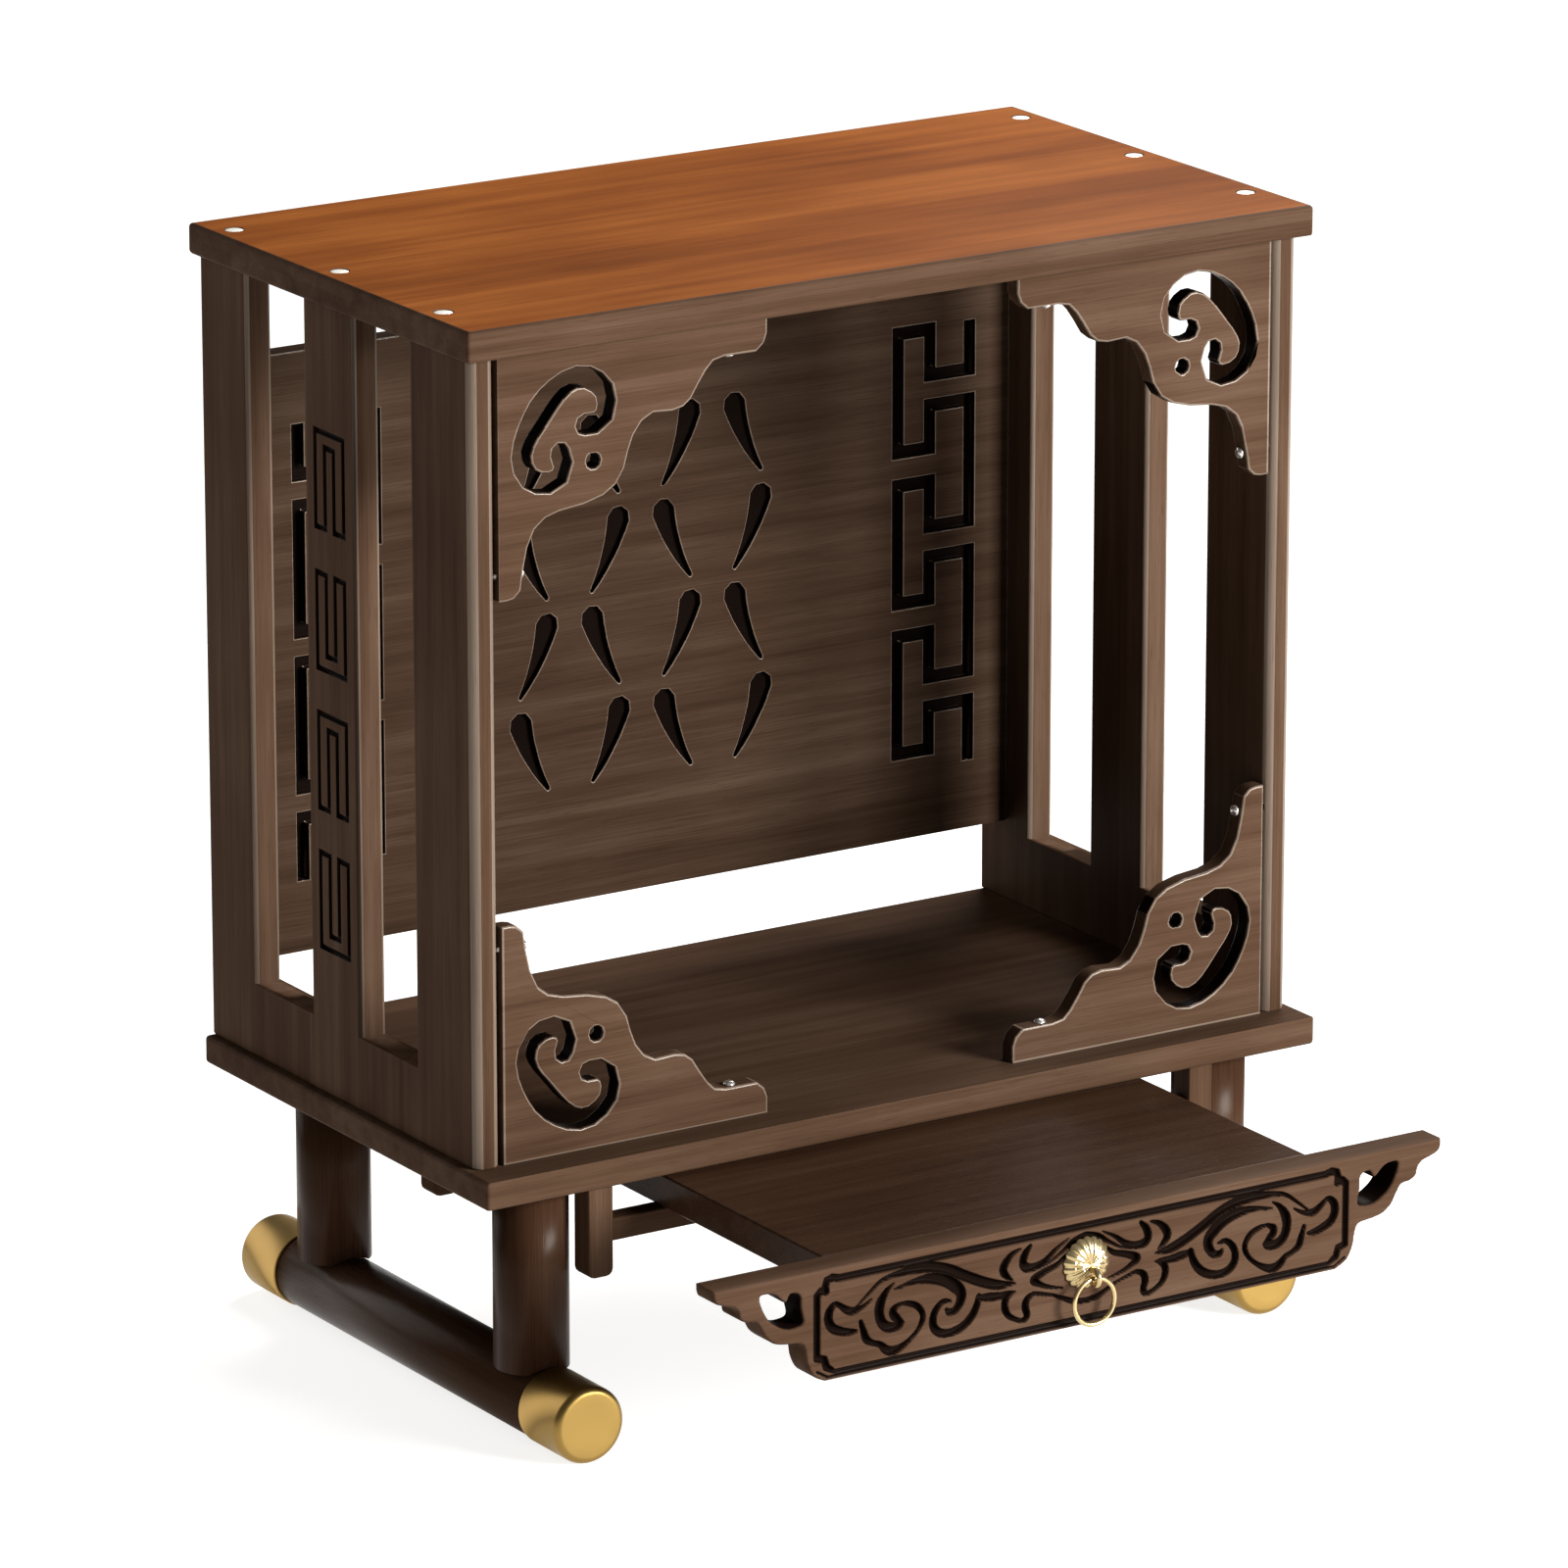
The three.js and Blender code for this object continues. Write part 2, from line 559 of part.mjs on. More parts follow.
function trayFront() {
  const at = ([x, v]) => [x, trayTop - v];
  const fromTip = ([inward, share]) => [FRONT.width / 2 - inward, share * FRONT.height];
  const half = FRONT_HALF.map(fromTip);
  const hole = WING_HOLE.map(fromTip);
  const shape = polygon([...half, ...mirrored(half)].map(at), [hole.map(at), mirrored(hole).map(at)]);
  const board = upright(shape, FRONT.face, FRONT.thickness);
  const grooves = [upright(ribbon(framePath().map(at), FRAME_LINE.line, true),
    FRONT.face - FRAME_LINE.depth, FRAME_LINE.depth * 2)];
  SCROLL_LINES.forEach(({ width, points }) => {
    const fullness = (t) => (CARVING.line * width * (0.35 + 0.65 * Math.sin(Math.PI * t) ** 0.7)) / 2;
    const placed = points.map(([across, down]) => [across * frameHalf, down * FRONT.height]);
    const outline = swelling(placed, fullness, points.length + 3);
    [outline, mirrored(outline)].forEach((line) => {
      grooves.push(upright(polygon(line.map(at)), FRONT.face - CARVING.depth, CARVING.depth * 2));
    });
  });
  return cut(board, grooves);
}

function trayBoard() {
  return box(-TRAY.width / 2, TRAY.width / 2, frontBack, TRAY.back, trayUnderside, trayTop);
}

const bossZ = trayTop + BOSS.z;
const eyeY = FRONT.face - BOSS.height - EYE.radius + EYE.wire;
const eyeZ = bossZ - EYE.below;
const pivotZ = eyeZ - (EYE.radius - EYE.wire - RING.wire - RING.play);
const ringMiddle = RING.outer - RING.wire;

// A low flower of petals on a dome, cast with the eye that the ring hangs in, flat on the tray front.
function pullBoss() {
  const sides = BOSS.petals * 2;
  const outline = Array.from({ length: sides }, (_, i) => {
    const angle = (i * 2 * Math.PI) / sides;
    const radius = BOSS.radius * (i % 2 ? 0.9 : 1);
    return [radius * Math.cos(angle), bossZ + radius * Math.sin(angle)];
  });
  const skirt = upright(polygon(outline), FRONT.face - BOSS.height * 0.35, BOSS.height * 0.35);
  const dome = new THREE.LatheGeometry(vectors([
    [0, 0.5], [BOSS.radius * 0.82, 0.5], [BOSS.radius * 0.8, 2], [BOSS.radius * 0.6, 3.2],
    [BOSS.radius * 0.42, BOSS.height - 0.6], [0, BOSS.height],
  ]), BOSS.petals)
    .rotateX(Math.PI)
    .translate(0, FRONT.face, bossZ);
  const eye = wireRing(EYE.radius, EYE.wire, 12, 6).translate(0, eyeY, eyeZ);
  return geometryOf(join([skirt, dome, eye]));
}

// A round loop of wire: a polygon section swept round an axis along X.
function wireRing(radius, wire, steps, sides) {
  const section = Array.from({ length: sides + 1 }, (_, i) => {
    const angle = (-i * 2 * Math.PI) / sides;
    return new THREE.Vector2(radius + wire * Math.cos(angle), wire * Math.sin(angle));
  });
  section[sides].copy(section[0]);
  return new THREE.LatheGeometry(section.reverse(), steps).rotateZ(Math.PI / 2);
}

function pullRing() {
  return wireRing(ringMiddle, RING.wire, 24, 6)
    .rotateZ(Math.PI / 2)
    .translate(0, eyeY, pivotZ - ringMiddle);
}

function hanger(side, y) {
  const x0 = side > 0 ? hangerX - HANGER.width : -hangerX;
  const bottom = barTop - CROSSBAR.height - HANGER.below;
  const r = HANGER.bottomRadius;
  const shape = polygon([
    [x0, LEG_HEIGHT],
    ...arc(x0 + r, bottom + r, r, 180, 270, 3),
    ...arc(x0 + HANGER.width - r, bottom + r, r, 270, 360, 3),
    [x0 + HANGER.width, LEG_HEIGHT],
  ]);
  return upright(shape, y, HANGER.depth);
}

function crossbar(y) {
  const reach = hangerX - HANGER.width;
  const middle = y + HANGER.depth / 2;
  return box(-reach, reach, middle - CROSSBAR.depth / 2, middle + CROSSBAR.depth / 2, barTop - CROSSBAR.height, barTop);
}

// Assembly

const altar = new THREE.Group();
const frontmost = eyeY - EYE.radius - EYE.wire;
const rearmost = RUNNER.back;
altar.position.y = -(frontmost + rearmost) / 2;

function add(name, kind, geometry) {
  const mesh = new THREE.Mesh(geometry, material(kind));
  mesh.name = name;
  altar.add(mesh);
}

add('top_board', 'top', topBoard());
topScrewPlaces().forEach((place, index) => {
  add(`top_screw_${index + 1}`, 'steel', screwShape(TOP_SCREW, topScrewLength, true)
    .translate(place.x, place.y, topUnderside + TOP.thickness));
});
add('base_board', 'wood', baseBoard());
add('back_panel', 'wood', backPanel());
for (const [hand, side] of [['left', -1], ['right', 1]]) {
  add(`side_panel_${hand}`, 'wood', sidePanel(side));
  for (const [level, upper] of [['lower', false], ['upper', true]]) {
    add(`bracket_${level}_${hand}`, 'wood', bracket(side, upper));
    const screws = bracketScrews(side, upper);
    add(`bracket_screw_leg_${level}_${hand}`, 'steel', screws.leg);
    add(`bracket_screw_arm_${level}_${hand}`, 'steel', screws.arm);
  }
  add(`runner_${hand}`, 'wood', runner(side));
  add(`cap_front_${hand}`, 'brass', cap(side, true));
  add(`cap_rear_${hand}`, 'brass', cap(side, false));
  for (const [place, y] of [['front', POST.places[0]], ['rear', POST.places[1]]]) {
    add(`post_${place}_${hand}`, 'wood', post(side, y));
  }
  add(`hanger_front_${hand}`, 'wood', hanger(side, HANGER.front));
  add(`hanger_rear_${hand}`, 'wood', hanger(side, HANGER.rear));
}
add('crossbar_front', 'wood', crossbar(HANGER.front));
add('crossbar_rear', 'wood', crossbar(HANGER.rear));
add('tray_board', 'wood', trayBoard());
add('tray_front', 'wood', trayFront());
add('pull_boss', 'brass', pullBoss());
add('pull_ring', 'brass', pullRing());

export default altar;
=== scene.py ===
"""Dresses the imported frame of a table-top altar cabinet in stained wood, brass and steel.

Every piece stands where its CAD node is. Boards keep the node's own shape with softened arrises,
turned and cast pieces are built from their sizes, and the tray front is carved as a fine relief.
"""

from __future__ import annotations

import json
import logging
import math
import sys
from dataclasses import dataclass
from enum import Enum
from typing import Callable, Sequence

import bmesh
import bpy
import numpy as np
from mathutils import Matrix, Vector


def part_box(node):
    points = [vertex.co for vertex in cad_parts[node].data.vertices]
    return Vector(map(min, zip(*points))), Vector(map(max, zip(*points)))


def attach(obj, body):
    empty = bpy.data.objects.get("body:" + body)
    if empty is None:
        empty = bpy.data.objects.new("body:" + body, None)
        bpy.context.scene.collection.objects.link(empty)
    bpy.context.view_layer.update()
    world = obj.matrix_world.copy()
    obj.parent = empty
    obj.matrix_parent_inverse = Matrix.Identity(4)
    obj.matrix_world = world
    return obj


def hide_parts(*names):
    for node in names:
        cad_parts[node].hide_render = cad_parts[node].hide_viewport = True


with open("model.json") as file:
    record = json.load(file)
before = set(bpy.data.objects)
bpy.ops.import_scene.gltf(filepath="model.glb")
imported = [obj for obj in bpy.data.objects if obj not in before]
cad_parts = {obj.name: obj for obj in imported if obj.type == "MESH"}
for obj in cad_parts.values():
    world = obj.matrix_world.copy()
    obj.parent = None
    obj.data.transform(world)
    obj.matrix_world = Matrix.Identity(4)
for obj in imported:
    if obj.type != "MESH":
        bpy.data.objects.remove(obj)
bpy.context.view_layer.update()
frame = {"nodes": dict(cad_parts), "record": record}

log = logging.getLogger("altar")

MM = 0.001
Point = tuple[float, float]
Cut = tuple[float, float, float]
Colour = tuple[float, float, float]

WIDEST_ARRIS = 2.4       # the radius that a bevel weight of 1 stands for
WELD = 2e-6              # corners nearer than this, in metres, are one
SHARP_EDGE = 35.0        # edges that turn by more degrees than this are rounded
NEAR = 0.05              # how near, in millimetres, an edge lies to a face of the box to be on it
SIDES = ("left", "right")
ROUND_AXES = {0: (1, 2), 1: (2, 0), 2: (0, 1)}


class Grain(Enum):
    """The way the wood's grain runs in a piece."""

    ACROSS = 0
    DEEP = 1
    UP = 2


class Slot(Enum):
    """The record's material slots."""

    DARK_WOOD = "dark_wood"
    TOP_WOOD = "top_wood"
    BRASS = "brass"
    STEEL = "steel_screws"


# Shader graphs


class Value:
    """A shader socket that takes part in Python expressions, each of which adds a Math node."""

    def __init__(self, graph: Graph, socket: bpy.types.NodeSocket) -> None:
        """Keeps the socket and the graph that it is in."""
        self.graph = graph
        self.socket = socket

    def _math(self, operation: str, *terms: Value | float) -> Value:
        """Adds one Math node for an operation on some terms."""
        return self.graph.node("ShaderNodeMath", {"operation": operation}, dict(enumerate(terms)))

    def __add__(self, other: Value | float) -> Value:
        """This plus another."""
        return self._math("ADD", self, other)

    __radd__ = __add__

    def __mul__(self, other: Value | float) -> Value:
        """This times another."""
        return self._math("MULTIPLY", self, other)

    __rmul__ = __mul__

    def __sub__(self, other: Value | float) -> Value:
        """This less another."""
        return self._math("SUBTRACT", self, other)

    def __rsub__(self, other: float) -> Value:
        """Another less this."""
        return self._math("SUBTRACT", other, self)

    def __truediv__(self, divisor: float) -> Value:
        """This over a number, worked out as one multiplication."""
        return self * (1 / divisor)

    def clamped(self) -> Value:
        """This held between 0 and 1."""
        return self._math("MINIMUM", self._math("MAXIMUM", self, 0.0), 1.0)

    def floor(self) -> Value:
        """This rounded down."""
        return self._math("FLOOR", self)


class Graph:
    """A new material and the nodes in it."""

    def __init__(self, name: str) -> None:
        """Starts a material with an empty surface shader."""
        self.material = bpy.data.materials.new(name)
        self.material.use_nodes = True
        self.tree = self.material.node_tree
        self.shader = self.tree.nodes["Principled BSDF"]

    def node(
        self, kind: str, settings: dict | None = None, inputs: dict | None = None, output: int | str = 0
    ) -> Value:
        """Adds a node.

        Args:
            kind: The node's type.
            settings: Its own settings, set first. "stops" fills a colour ramp with (place, colour) pairs.
            inputs: Values or links for its sockets, by name or number.
            output: The socket that is wanted.

        Returns:
            The wanted output.
        """
        node = self.tree.nodes.new(kind)
        for key, value in (settings or {}).items():
            if key == "stops":
                self._fill_ramp(node.color_ramp, value)
            else:
                setattr(node, key, value)
        for key, value in (inputs or {}).items():
            self.feed(node.inputs[key], value)
        return Value(self, node.outputs[output])

    def feed(self, socket: bpy.types.NodeSocket, value: Value | float | Sequence[float]) -> None:
        """Links a value to a socket, or sets it there when it is plain.

        Args:
            socket: The input that gets the value.
            value: Another node's output, a number, a colour or a vector.
        """
        if isinstance(value, Value):
            self.tree.links.new(value.socket, socket)
        elif isinstance(value, (int, float)):
            socket.default_value = value
        elif socket.type == "RGBA":
            socket.default_value = (*value, 1.0)
        else:
            socket.default_value = tuple(value)

    @staticmethod
    def _fill_ramp(ramp: bpy.types.ColorRamp, stops: Sequence[tuple[float, Colour]]) -> None:
        """Gives a colour ramp its stops.

        Args:
            ramp: The ramp.
            stops: Places from 0 to 1, each with its colour.
        """
        while len(ramp.elements) < len(stops):
            ramp.elements.new(1.0)
        for element, (place, colour) in zip(ramp.elements, stops):
            element.position = place
            element.color = (*colour, 1.0)

    def place(self) -> tuple[Value, Value, Value]:
        """The point on the object, in millimetres.

        Returns:
            Its three coordinates.
        """
        coordinates = self.node("ShaderNodeTexCoord", output="Object")
        in_mm = self.node("ShaderNodeVectorMath", {"operation": "SCALE"}, {0: coordinates, "Scale": 1 / MM})
        split = self.node("ShaderNodeSeparateXYZ", inputs={0: in_mm}).socket.node
        return tuple(Value(self, output) for output in split.outputs)

    def vector(self, x: Value | float, y: Value | float, z: Value | float) -> Value:
        """Three values as a vector."""
        return self.node("ShaderNodeCombineXYZ", inputs={0: x, 1: y, 2: z})

    def noise(self, at: Value, detail: float = 2.0, roughness: float = 0.5, scale: float = 1.0) -> Value:
        """Smooth noise from 0 to 1 at a point."""
        inputs = {"Vector": at, "Scale": scale, "Detail": detail, "Roughness": roughness}
        return self.node("ShaderNodeTexNoise", {"noise_dimensions": "3D"}, inputs)

    def ramp(self, value: Value, stops: Sequence[tuple[float, Colour]]) -> Value:
        """A colour for each value."""
        return self.node("ShaderNodeValToRGB", {"stops": stops}, {0: value})

    def mix(self, factor: Value | float, a: Value | Colour, b: Value | Colour) -> Value:
        """Two colours mixed."""
        return self.node("ShaderNodeMix", {"data_type": "RGBA"}, {0: factor, 6: a, 7: b}, output=2)

    def bump(self, height: Value, strength: float, distance: float) -> Value:
        """A surface normal that follows a height."""
        inputs = {"Height": height, "Strength": strength, "Distance": distance}
        return self.node("ShaderNodeBump", inputs=inputs)

    def surface(self, **inputs: Value | float | Colour) -> bpy.types.Material:
        """Sets the surface shader's sockets.

        Args:
            inputs: Their values, by name with underscores for spaces.

        Returns:
            The material.
        """
        for name, value in inputs.items():
            self.feed(self.shader.inputs[name.replace("_", " ")], value)
        return self.material


# Finishes


@dataclass(frozen=True)
class WoodFinish:
    """Stained straight-grained wood under satin lacquer."""

    name: str
    dark: Colour
    middle: Colour
    light: Colour
    # The colour mixed into carved hollows and pierced walls: dark stain with painted shade.
    carved: Colour
    streak_mm: float = 0.55
    band_mm: float = 7.0
    strip_mm: float = 24.0
    strip_contrast: float = 0.35
    roughness: float = 0.42
    specular: float = 0.008
    sheen_tint: Colour = (0.9, 0.8, 0.7)
    streak_along: float = 0.022
    band_along: float = 0.006
    cloud_scale: tuple[float, float] = (0.018, 0.011)
    pore_scale: tuple[float, float] = (1.6, 0.09)
    pore_threshold: float = 0.63
    pore_strength: float = 0.45
    stops: tuple[float, float, float] = (0.3, 0.5, 0.72)
    grain_depth_m: float = 0.00012

    def material(self, grain: Grain) -> bpy.types.Material:
        """Builds the material with its grain running one way.

        Args:
            grain: The way that the grain runs.

        Returns:
            The material.
        """
        graph = Graph(f"{self.name}_{grain.name.lower()}")
        place = list(graph.place())
        along = place.pop(grain.value)
        across, through = place
        streak, band, strip = self.streak_mm, self.band_mm, self.strip_mm
        cloud, cloud_along = self.cloud_scale
        pore, pore_along = self.pore_scale
        streaks = graph.noise(graph.vector(across / streak, through / streak, along * self.streak_along),
                              3.0, 0.65)
        bands = graph.noise(graph.vector(across / band, through / band, along * self.band_along), 3.0, 0.55)
        clouds = graph.noise(graph.vector(across * cloud, through * cloud, along * cloud_along), 2.0, 0.5)
        board = graph.vector((across / strip).floor(), (through / strip).floor(), 0.5)
        strips = graph.node("ShaderNodeTexWhiteNoise", {"noise_dimensions": "3D"}, {"Vector": board})
        pores = graph.noise(graph.vector(across * pore, through * pore, along * pore_along), 1.0, 0.5)
        pore_mask = ((pores - self.pore_threshold) * 9.0).clamped()
        board_tone = (strips - 0.5) * self.strip_contrast * 0.3
        tone = streaks * 0.38 + bands * 0.5 + clouds * 0.35 + board_tone - 0.11
        stained = graph.ramp(tone, list(zip(self.stops, (self.dark, self.middle, self.light))))
        pored = graph.mix(pore_mask * self.pore_strength, stained, self.dark)
        # Faces marked as carved are mixed towards the carved colour: dark stain with painted shade.
        hollow = graph.node("ShaderNodeAttribute", {"attribute_name": "carved"}, output="Fac")
        colour = graph.mix(hollow.clamped(), pored, self.carved)
        height = streaks * 0.7 - pore_mask * 0.6
        return graph.surface(
            Base_Color=colour,
            Roughness=(streaks * 0.16 + self.roughness - 0.08 - hollow * 0.08).clamped(),
            Specular_IOR_Level=self.specular,
            Specular_Tint=self.sheen_tint,
            Normal=graph.bump(height, 0.35, self.grain_depth_m),
        )


@dataclass(frozen=True)
class MetalFinish:
    """Metal with fine scratches left by turning or brushing."""

    name: str
    colour: Colour
    shade: Colour
    roughness: float
    scratch: float = 0.07
    metallic: float = 0.9
    bump: float = 0.03
    scratch_scale: tuple[float, float] = (2.2, 0.25)
    cloud_scale: float = 0.09
    scratch_depth_m: float = 0.00005

    def material(self, grain: Grain = Grain.DEEP) -> bpy.types.Material:
        """Builds the material.

        Args:
            grain: The way that the fine scratches run.

        Returns:
            The material.
        """
        graph = Graph(self.name)
        place = list(graph.place())
        along = place.pop(grain.value)
        across, through = place
        fine, fine_along = self.scratch_scale
        cloud = self.cloud_scale
        scratches = graph.noise(graph.vector(across * fine, through * fine, along * fine_along), 3.0, 0.6)
        clouds = graph.noise(graph.vector(across * cloud, through * cloud, along * cloud), 2.0, 0.5)
        colour = graph.mix((clouds * 0.5 + scratches * 0.3 + 0.1).clamped(), self.shade, self.colour)
        return graph.surface(
            Base_Color=colour,
            Metallic=self.metallic,
            Roughness=(scratches * self.scratch + clouds * 0.08 + self.roughness - 0.08).clamped(),
            Normal=graph.bump(scratches, self.bump, self.scratch_depth_m),
        )


# Each finish's carved colour is the dark stain with painted shade for its hollows.
DARK_WOOD = WoodFinish(
    "dark_wood", dark=(0.029, 0.0140, 0.0076), middle=(0.049, 0.0260, 0.0150), light=(0.072, 0.0425, 0.0270),
    carved=(0.004, 0.002, 0.0014),
)
# Lighter, glossier arris finish: rubbed wear, plus a painted highlight along the edges and noses.
ARRIS_WEAR_AND_HIGHLIGHT = WoodFinish(
    "arris_wear_and_painted_highlight", dark=(0.07, 0.046, 0.032), middle=(0.105, 0.073, 0.052), light=(0.15, 0.11, 0.082),
    carved=(0.03, 0.018, 0.012), roughness=0.34, specular=0.3,
)
# A darker copy of the dark wood, as painted shade for the back panel inside the cabinet.
PAINTED_SHADE_WOOD = WoodFinish(
    "painted_shade_wood", dark=(0.017, 0.0086, 0.0048), middle=(0.031, 0.0172, 0.0102),
    light=(0.050, 0.0305, 0.0195),
    carved=(0.003, 0.0015, 0.001),
)
GLOSSY_WOOD = WoodFinish(
    "glossy_wood", dark=(0.019, 0.0078, 0.0038), middle=(0.031, 0.0138, 0.0070),
    light=(0.046, 0.0230, 0.0130),
    carved=(0.004, 0.002, 0.0014), roughness=0.28, specular=0.045,
)
TOP_WOOD = WoodFinish(
    "top_wood", dark=(0.118, 0.0325, 0.0078), middle=(0.185, 0.053, 0.0110), light=(0.285, 0.090, 0.0190),
    carved=(0.02, 0.008, 0.004), band_mm=9.0, strip_contrast=0.35, roughness=0.36, specular=0.006,
)
SATIN_BRASS = MetalFinish(
    "satin_brass", colour=(0.300, 0.189, 0.055), shade=(0.262, 0.162, 0.045), roughness=0.38, metallic=1.0)
POLISHED_BRASS = MetalFinish(
    "polished_brass", colour=(0.64, 0.50, 0.27), shade=(0.40, 0.28, 0.12), roughness=0.22)
STEEL = MetalFinish("steel", colour=(0.82, 0.79, 0.73), shade=(0.66, 0.62, 0.57), roughness=0.24)
PLATED = MetalFinish(
    "plated_head", colour=(0.93, 0.90, 0.82), shade=(0.82, 0.78, 0.70), roughness=0.36, metallic=0.25)


class Finishes:
    """Every material, made once and shared by the pieces that use it."""

    def __init__(self) -> None:
        """Starts with none made."""
        self._made: dict[tuple[str, Grain], bpy.types.Material] = {}

    def get(self, finish: WoodFinish | MetalFinish, grain: Grain) -> bpy.types.Material:
        """The material of a finish, made when it is first wanted.

        Args:
            finish: The finish.
            grain: The way that its grain runs.

        Returns:
            The material.
        """
        key = (finish.name, grain)
        if key not in self._made:
            self._made[key] = finish.material(grain)
        return self._made[key]


# Meshes


def body_of(node: str) -> str:
    """The body that a CAD node rides on."""
    bodies = frame["record"]["behaviour"]["bodies"]
    return next(body for body, members in bodies.items() if node in members)


def middle_of(node: str) -> Vector:
    """The middle of a CAD node's box."""
    low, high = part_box(node)
    return (low + high) / 2


@dataclass
class Workshop:
    """Turns meshes into pieces of the altar."""

    finishes: Finishes
    count: int = 0

    def piece(
        self, node: str, mesh: bpy.types.Mesh, finish: WoodFinish | MetalFinish, grain: Grain, slot: Slot
    ) -> bpy.types.Object:
        """Puts a mesh in the place of a CAD node.

        Args:
            node: The CAD node that it stands for.
            mesh: The mesh, in the row's frame.
            finish: What it is made of.
            grain: The way that the grain or the scratches run.
            slot: The record's slot for it; not used.

        Returns:
            The new piece.
        """
        obj = bpy.data.objects.new(f"{node}_dressed", mesh)
        bpy.context.scene.collection.objects.link(obj)
        mesh.materials.clear()
        mesh.materials.append(self.finishes.get(finish, grain))
        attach(obj, body_of(node))
        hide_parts(node)
        self.count += 1
        log.info("%s: %d faces", obj.name, len(mesh.polygons))
        return obj

    def second_finish(self, mesh: bpy.types.Mesh, finish: WoodFinish | MetalFinish, grain: Grain) -> int:
        """Gives a mesh one more finish.

        Args:
            mesh: The mesh.
            finish: The finish to add.
            grain: The way that its grain runs.

        Returns:
            The finish's number, for the faces that have it.
        """
        mesh.materials.append(self.finishes.get(finish, grain))
        return len(mesh.materials) - 1


def mesh_from(bm: bmesh.types.BMesh, name: str, smooth: bool = True) -> bpy.types.Mesh:
    """Writes a bmesh to a new mesh, with its faces pointing out.

    Args:
        bm: The bmesh, which is freed.
        name: The mesh's name.
        smooth: Whether its faces are shaded smooth.

    Returns:
        The mesh.
    """
    bmesh.ops.recalc_face_normals(bm, faces=bm.faces)
    for face in bm.faces:
        face.smooth = smooth
    mesh = bpy.data.meshes.new(name)
    bm.to_mesh(mesh)
    bm.free()
    return mesh


def softened(
    node: str, arris_mm: Callable[[Vector], float], carved: Callable[[Vector], bool] | None = None
) -> bpy.types.Mesh:
    """A copy of a CAD node's mesh, with its flat faces joined up and its sharp edges marked for rounding.

    Args:
        node: The CAD node.
        arris_mm: The radius for an edge, from the edge's middle in millimetres.
        carved: Says of a face's middle, in millimetres, whether it lies in a carved hollow, which takes the
            dark stain and painted shade.

    Returns:
        The mesh, whose edges carry their radius as a share of the widest.
    """
    bm = bmesh.new()
    bm.from_mesh(frame["nodes"][node].data)
    bmesh.ops.remove_doubles(bm, verts=bm.verts, dist=WELD)
    bmesh.ops.dissolve_limit(bm, angle_limit=math.radians(1), verts=bm.verts, edges=bm.edges)
    weight = bm.edges.layers.float.new("bevel_weight_edge")
    hollow = bm.faces.layers.float.new("carved")
    for edge in bm.edges:
        if len(edge.link_faces) == 2 and edge.is_convex and edge.calc_face_angle() > math.radians(SHARP_EDGE):
            middle = (edge.verts[0].co + edge.verts[1].co) / 2 / MM
            edge[weight] = arris_mm(middle) / WIDEST_ARRIS
    for face in bm.faces:
        # Faces in hollows are marked for the carved colour: dark stain with painted shade.
        face[hollow] = 1.0 if carved and carved(face.calc_center_median() / MM) else 0.0
    return mesh_from(bm, node)


def round_arrises(obj: bpy.types.Object, segments: int = 3) -> bpy.types.BevelModifier:
    """Rounds the marked edges of a piece and keeps its flat faces flat.

    Args:
        obj: The piece.
        segments: How many steps go round an edge.

    Returns:
        The modifier that rounds them.
    """
    bevel = obj.modifiers.new("arrises", "BEVEL")
    bevel.limit_method = "WEIGHT"
    bevel.width = WIDEST_ARRIS * MM
    bevel.segments = segments
    bevel.use_clamp_overlap = False
    bevel.miter_outer = "MITER_ARC"
    flat = obj.modifiers.new("flat_faces", "WEIGHTED_NORMAL")
    flat.keep_sharp = True
    return bevel


def turned(
    name: str, profile: Sequence[Point], place: Vector, axis: Grain, steps: int = 64
) -> bpy.types.Mesh:
    """A turned piece.

    Args:
        name: The mesh's name.
        profile: Radius and distance along the axis, in millimetres, from one end to the other.
        place: Where the axis starts, in metres.
        axis: The axis that it is turned about.
        steps: How many steps go round it.

    Returns:
        The mesh.
    """
    bm = bmesh.new()
    first, second = ROUND_AXES[axis.value]

    def at(radius: float, height: float, angle: float) -> Vector:
        """A point on the surface.

        Args:
            radius: How far it is from the axis.
            height: How far along the axis it is.
            angle: How far round it is.

        Returns:
            The point.
        """
        point = Vector(place)
        point[first] += radius * MM * math.cos(angle)
        point[second] += radius * MM * math.sin(angle)
        point[axis.value] += height * MM
        return point

    rings = []
    for radius, height in profile:
        if radius < 1e-6:
            rings.append([bm.verts.new(at(0, height, 0))])
        else:
            rings.append([bm.verts.new(at(radius, height, math.tau * i / steps)) for i in range(steps)])
    for lower, upper in zip(rings, rings[1:]):
        for i in range(steps):
            j = (i + 1) % steps
            corners = [lower[i % len(lower)], lower[j % len(lower)],
                       upper[j % len(upper)], upper[i % len(upper)]]
            unique = list(dict.fromkeys(corners))
            if len(unique) > 2:
                bm.faces.new(unique)
    return mesh_from(bm, name)


def arc(centre: Point, radius: float, start: float, end: float, steps: int) -> list[Point]:
    """Points on an arc.

    Args:
        centre: Its centre.
        radius: Its radius.
        start: The angle that it starts at, in degrees.
        end: The angle that it ends at, in degrees.
        steps: How many steps it takes.

    Returns:
        The points, with both ends.
    """
    angles = [math.radians(start + (end - start) * i / steps) for i in range(steps + 1)]
    return [(centre[0] + radius * math.cos(a), centre[1] + radius * math.sin(a)) for a in angles]


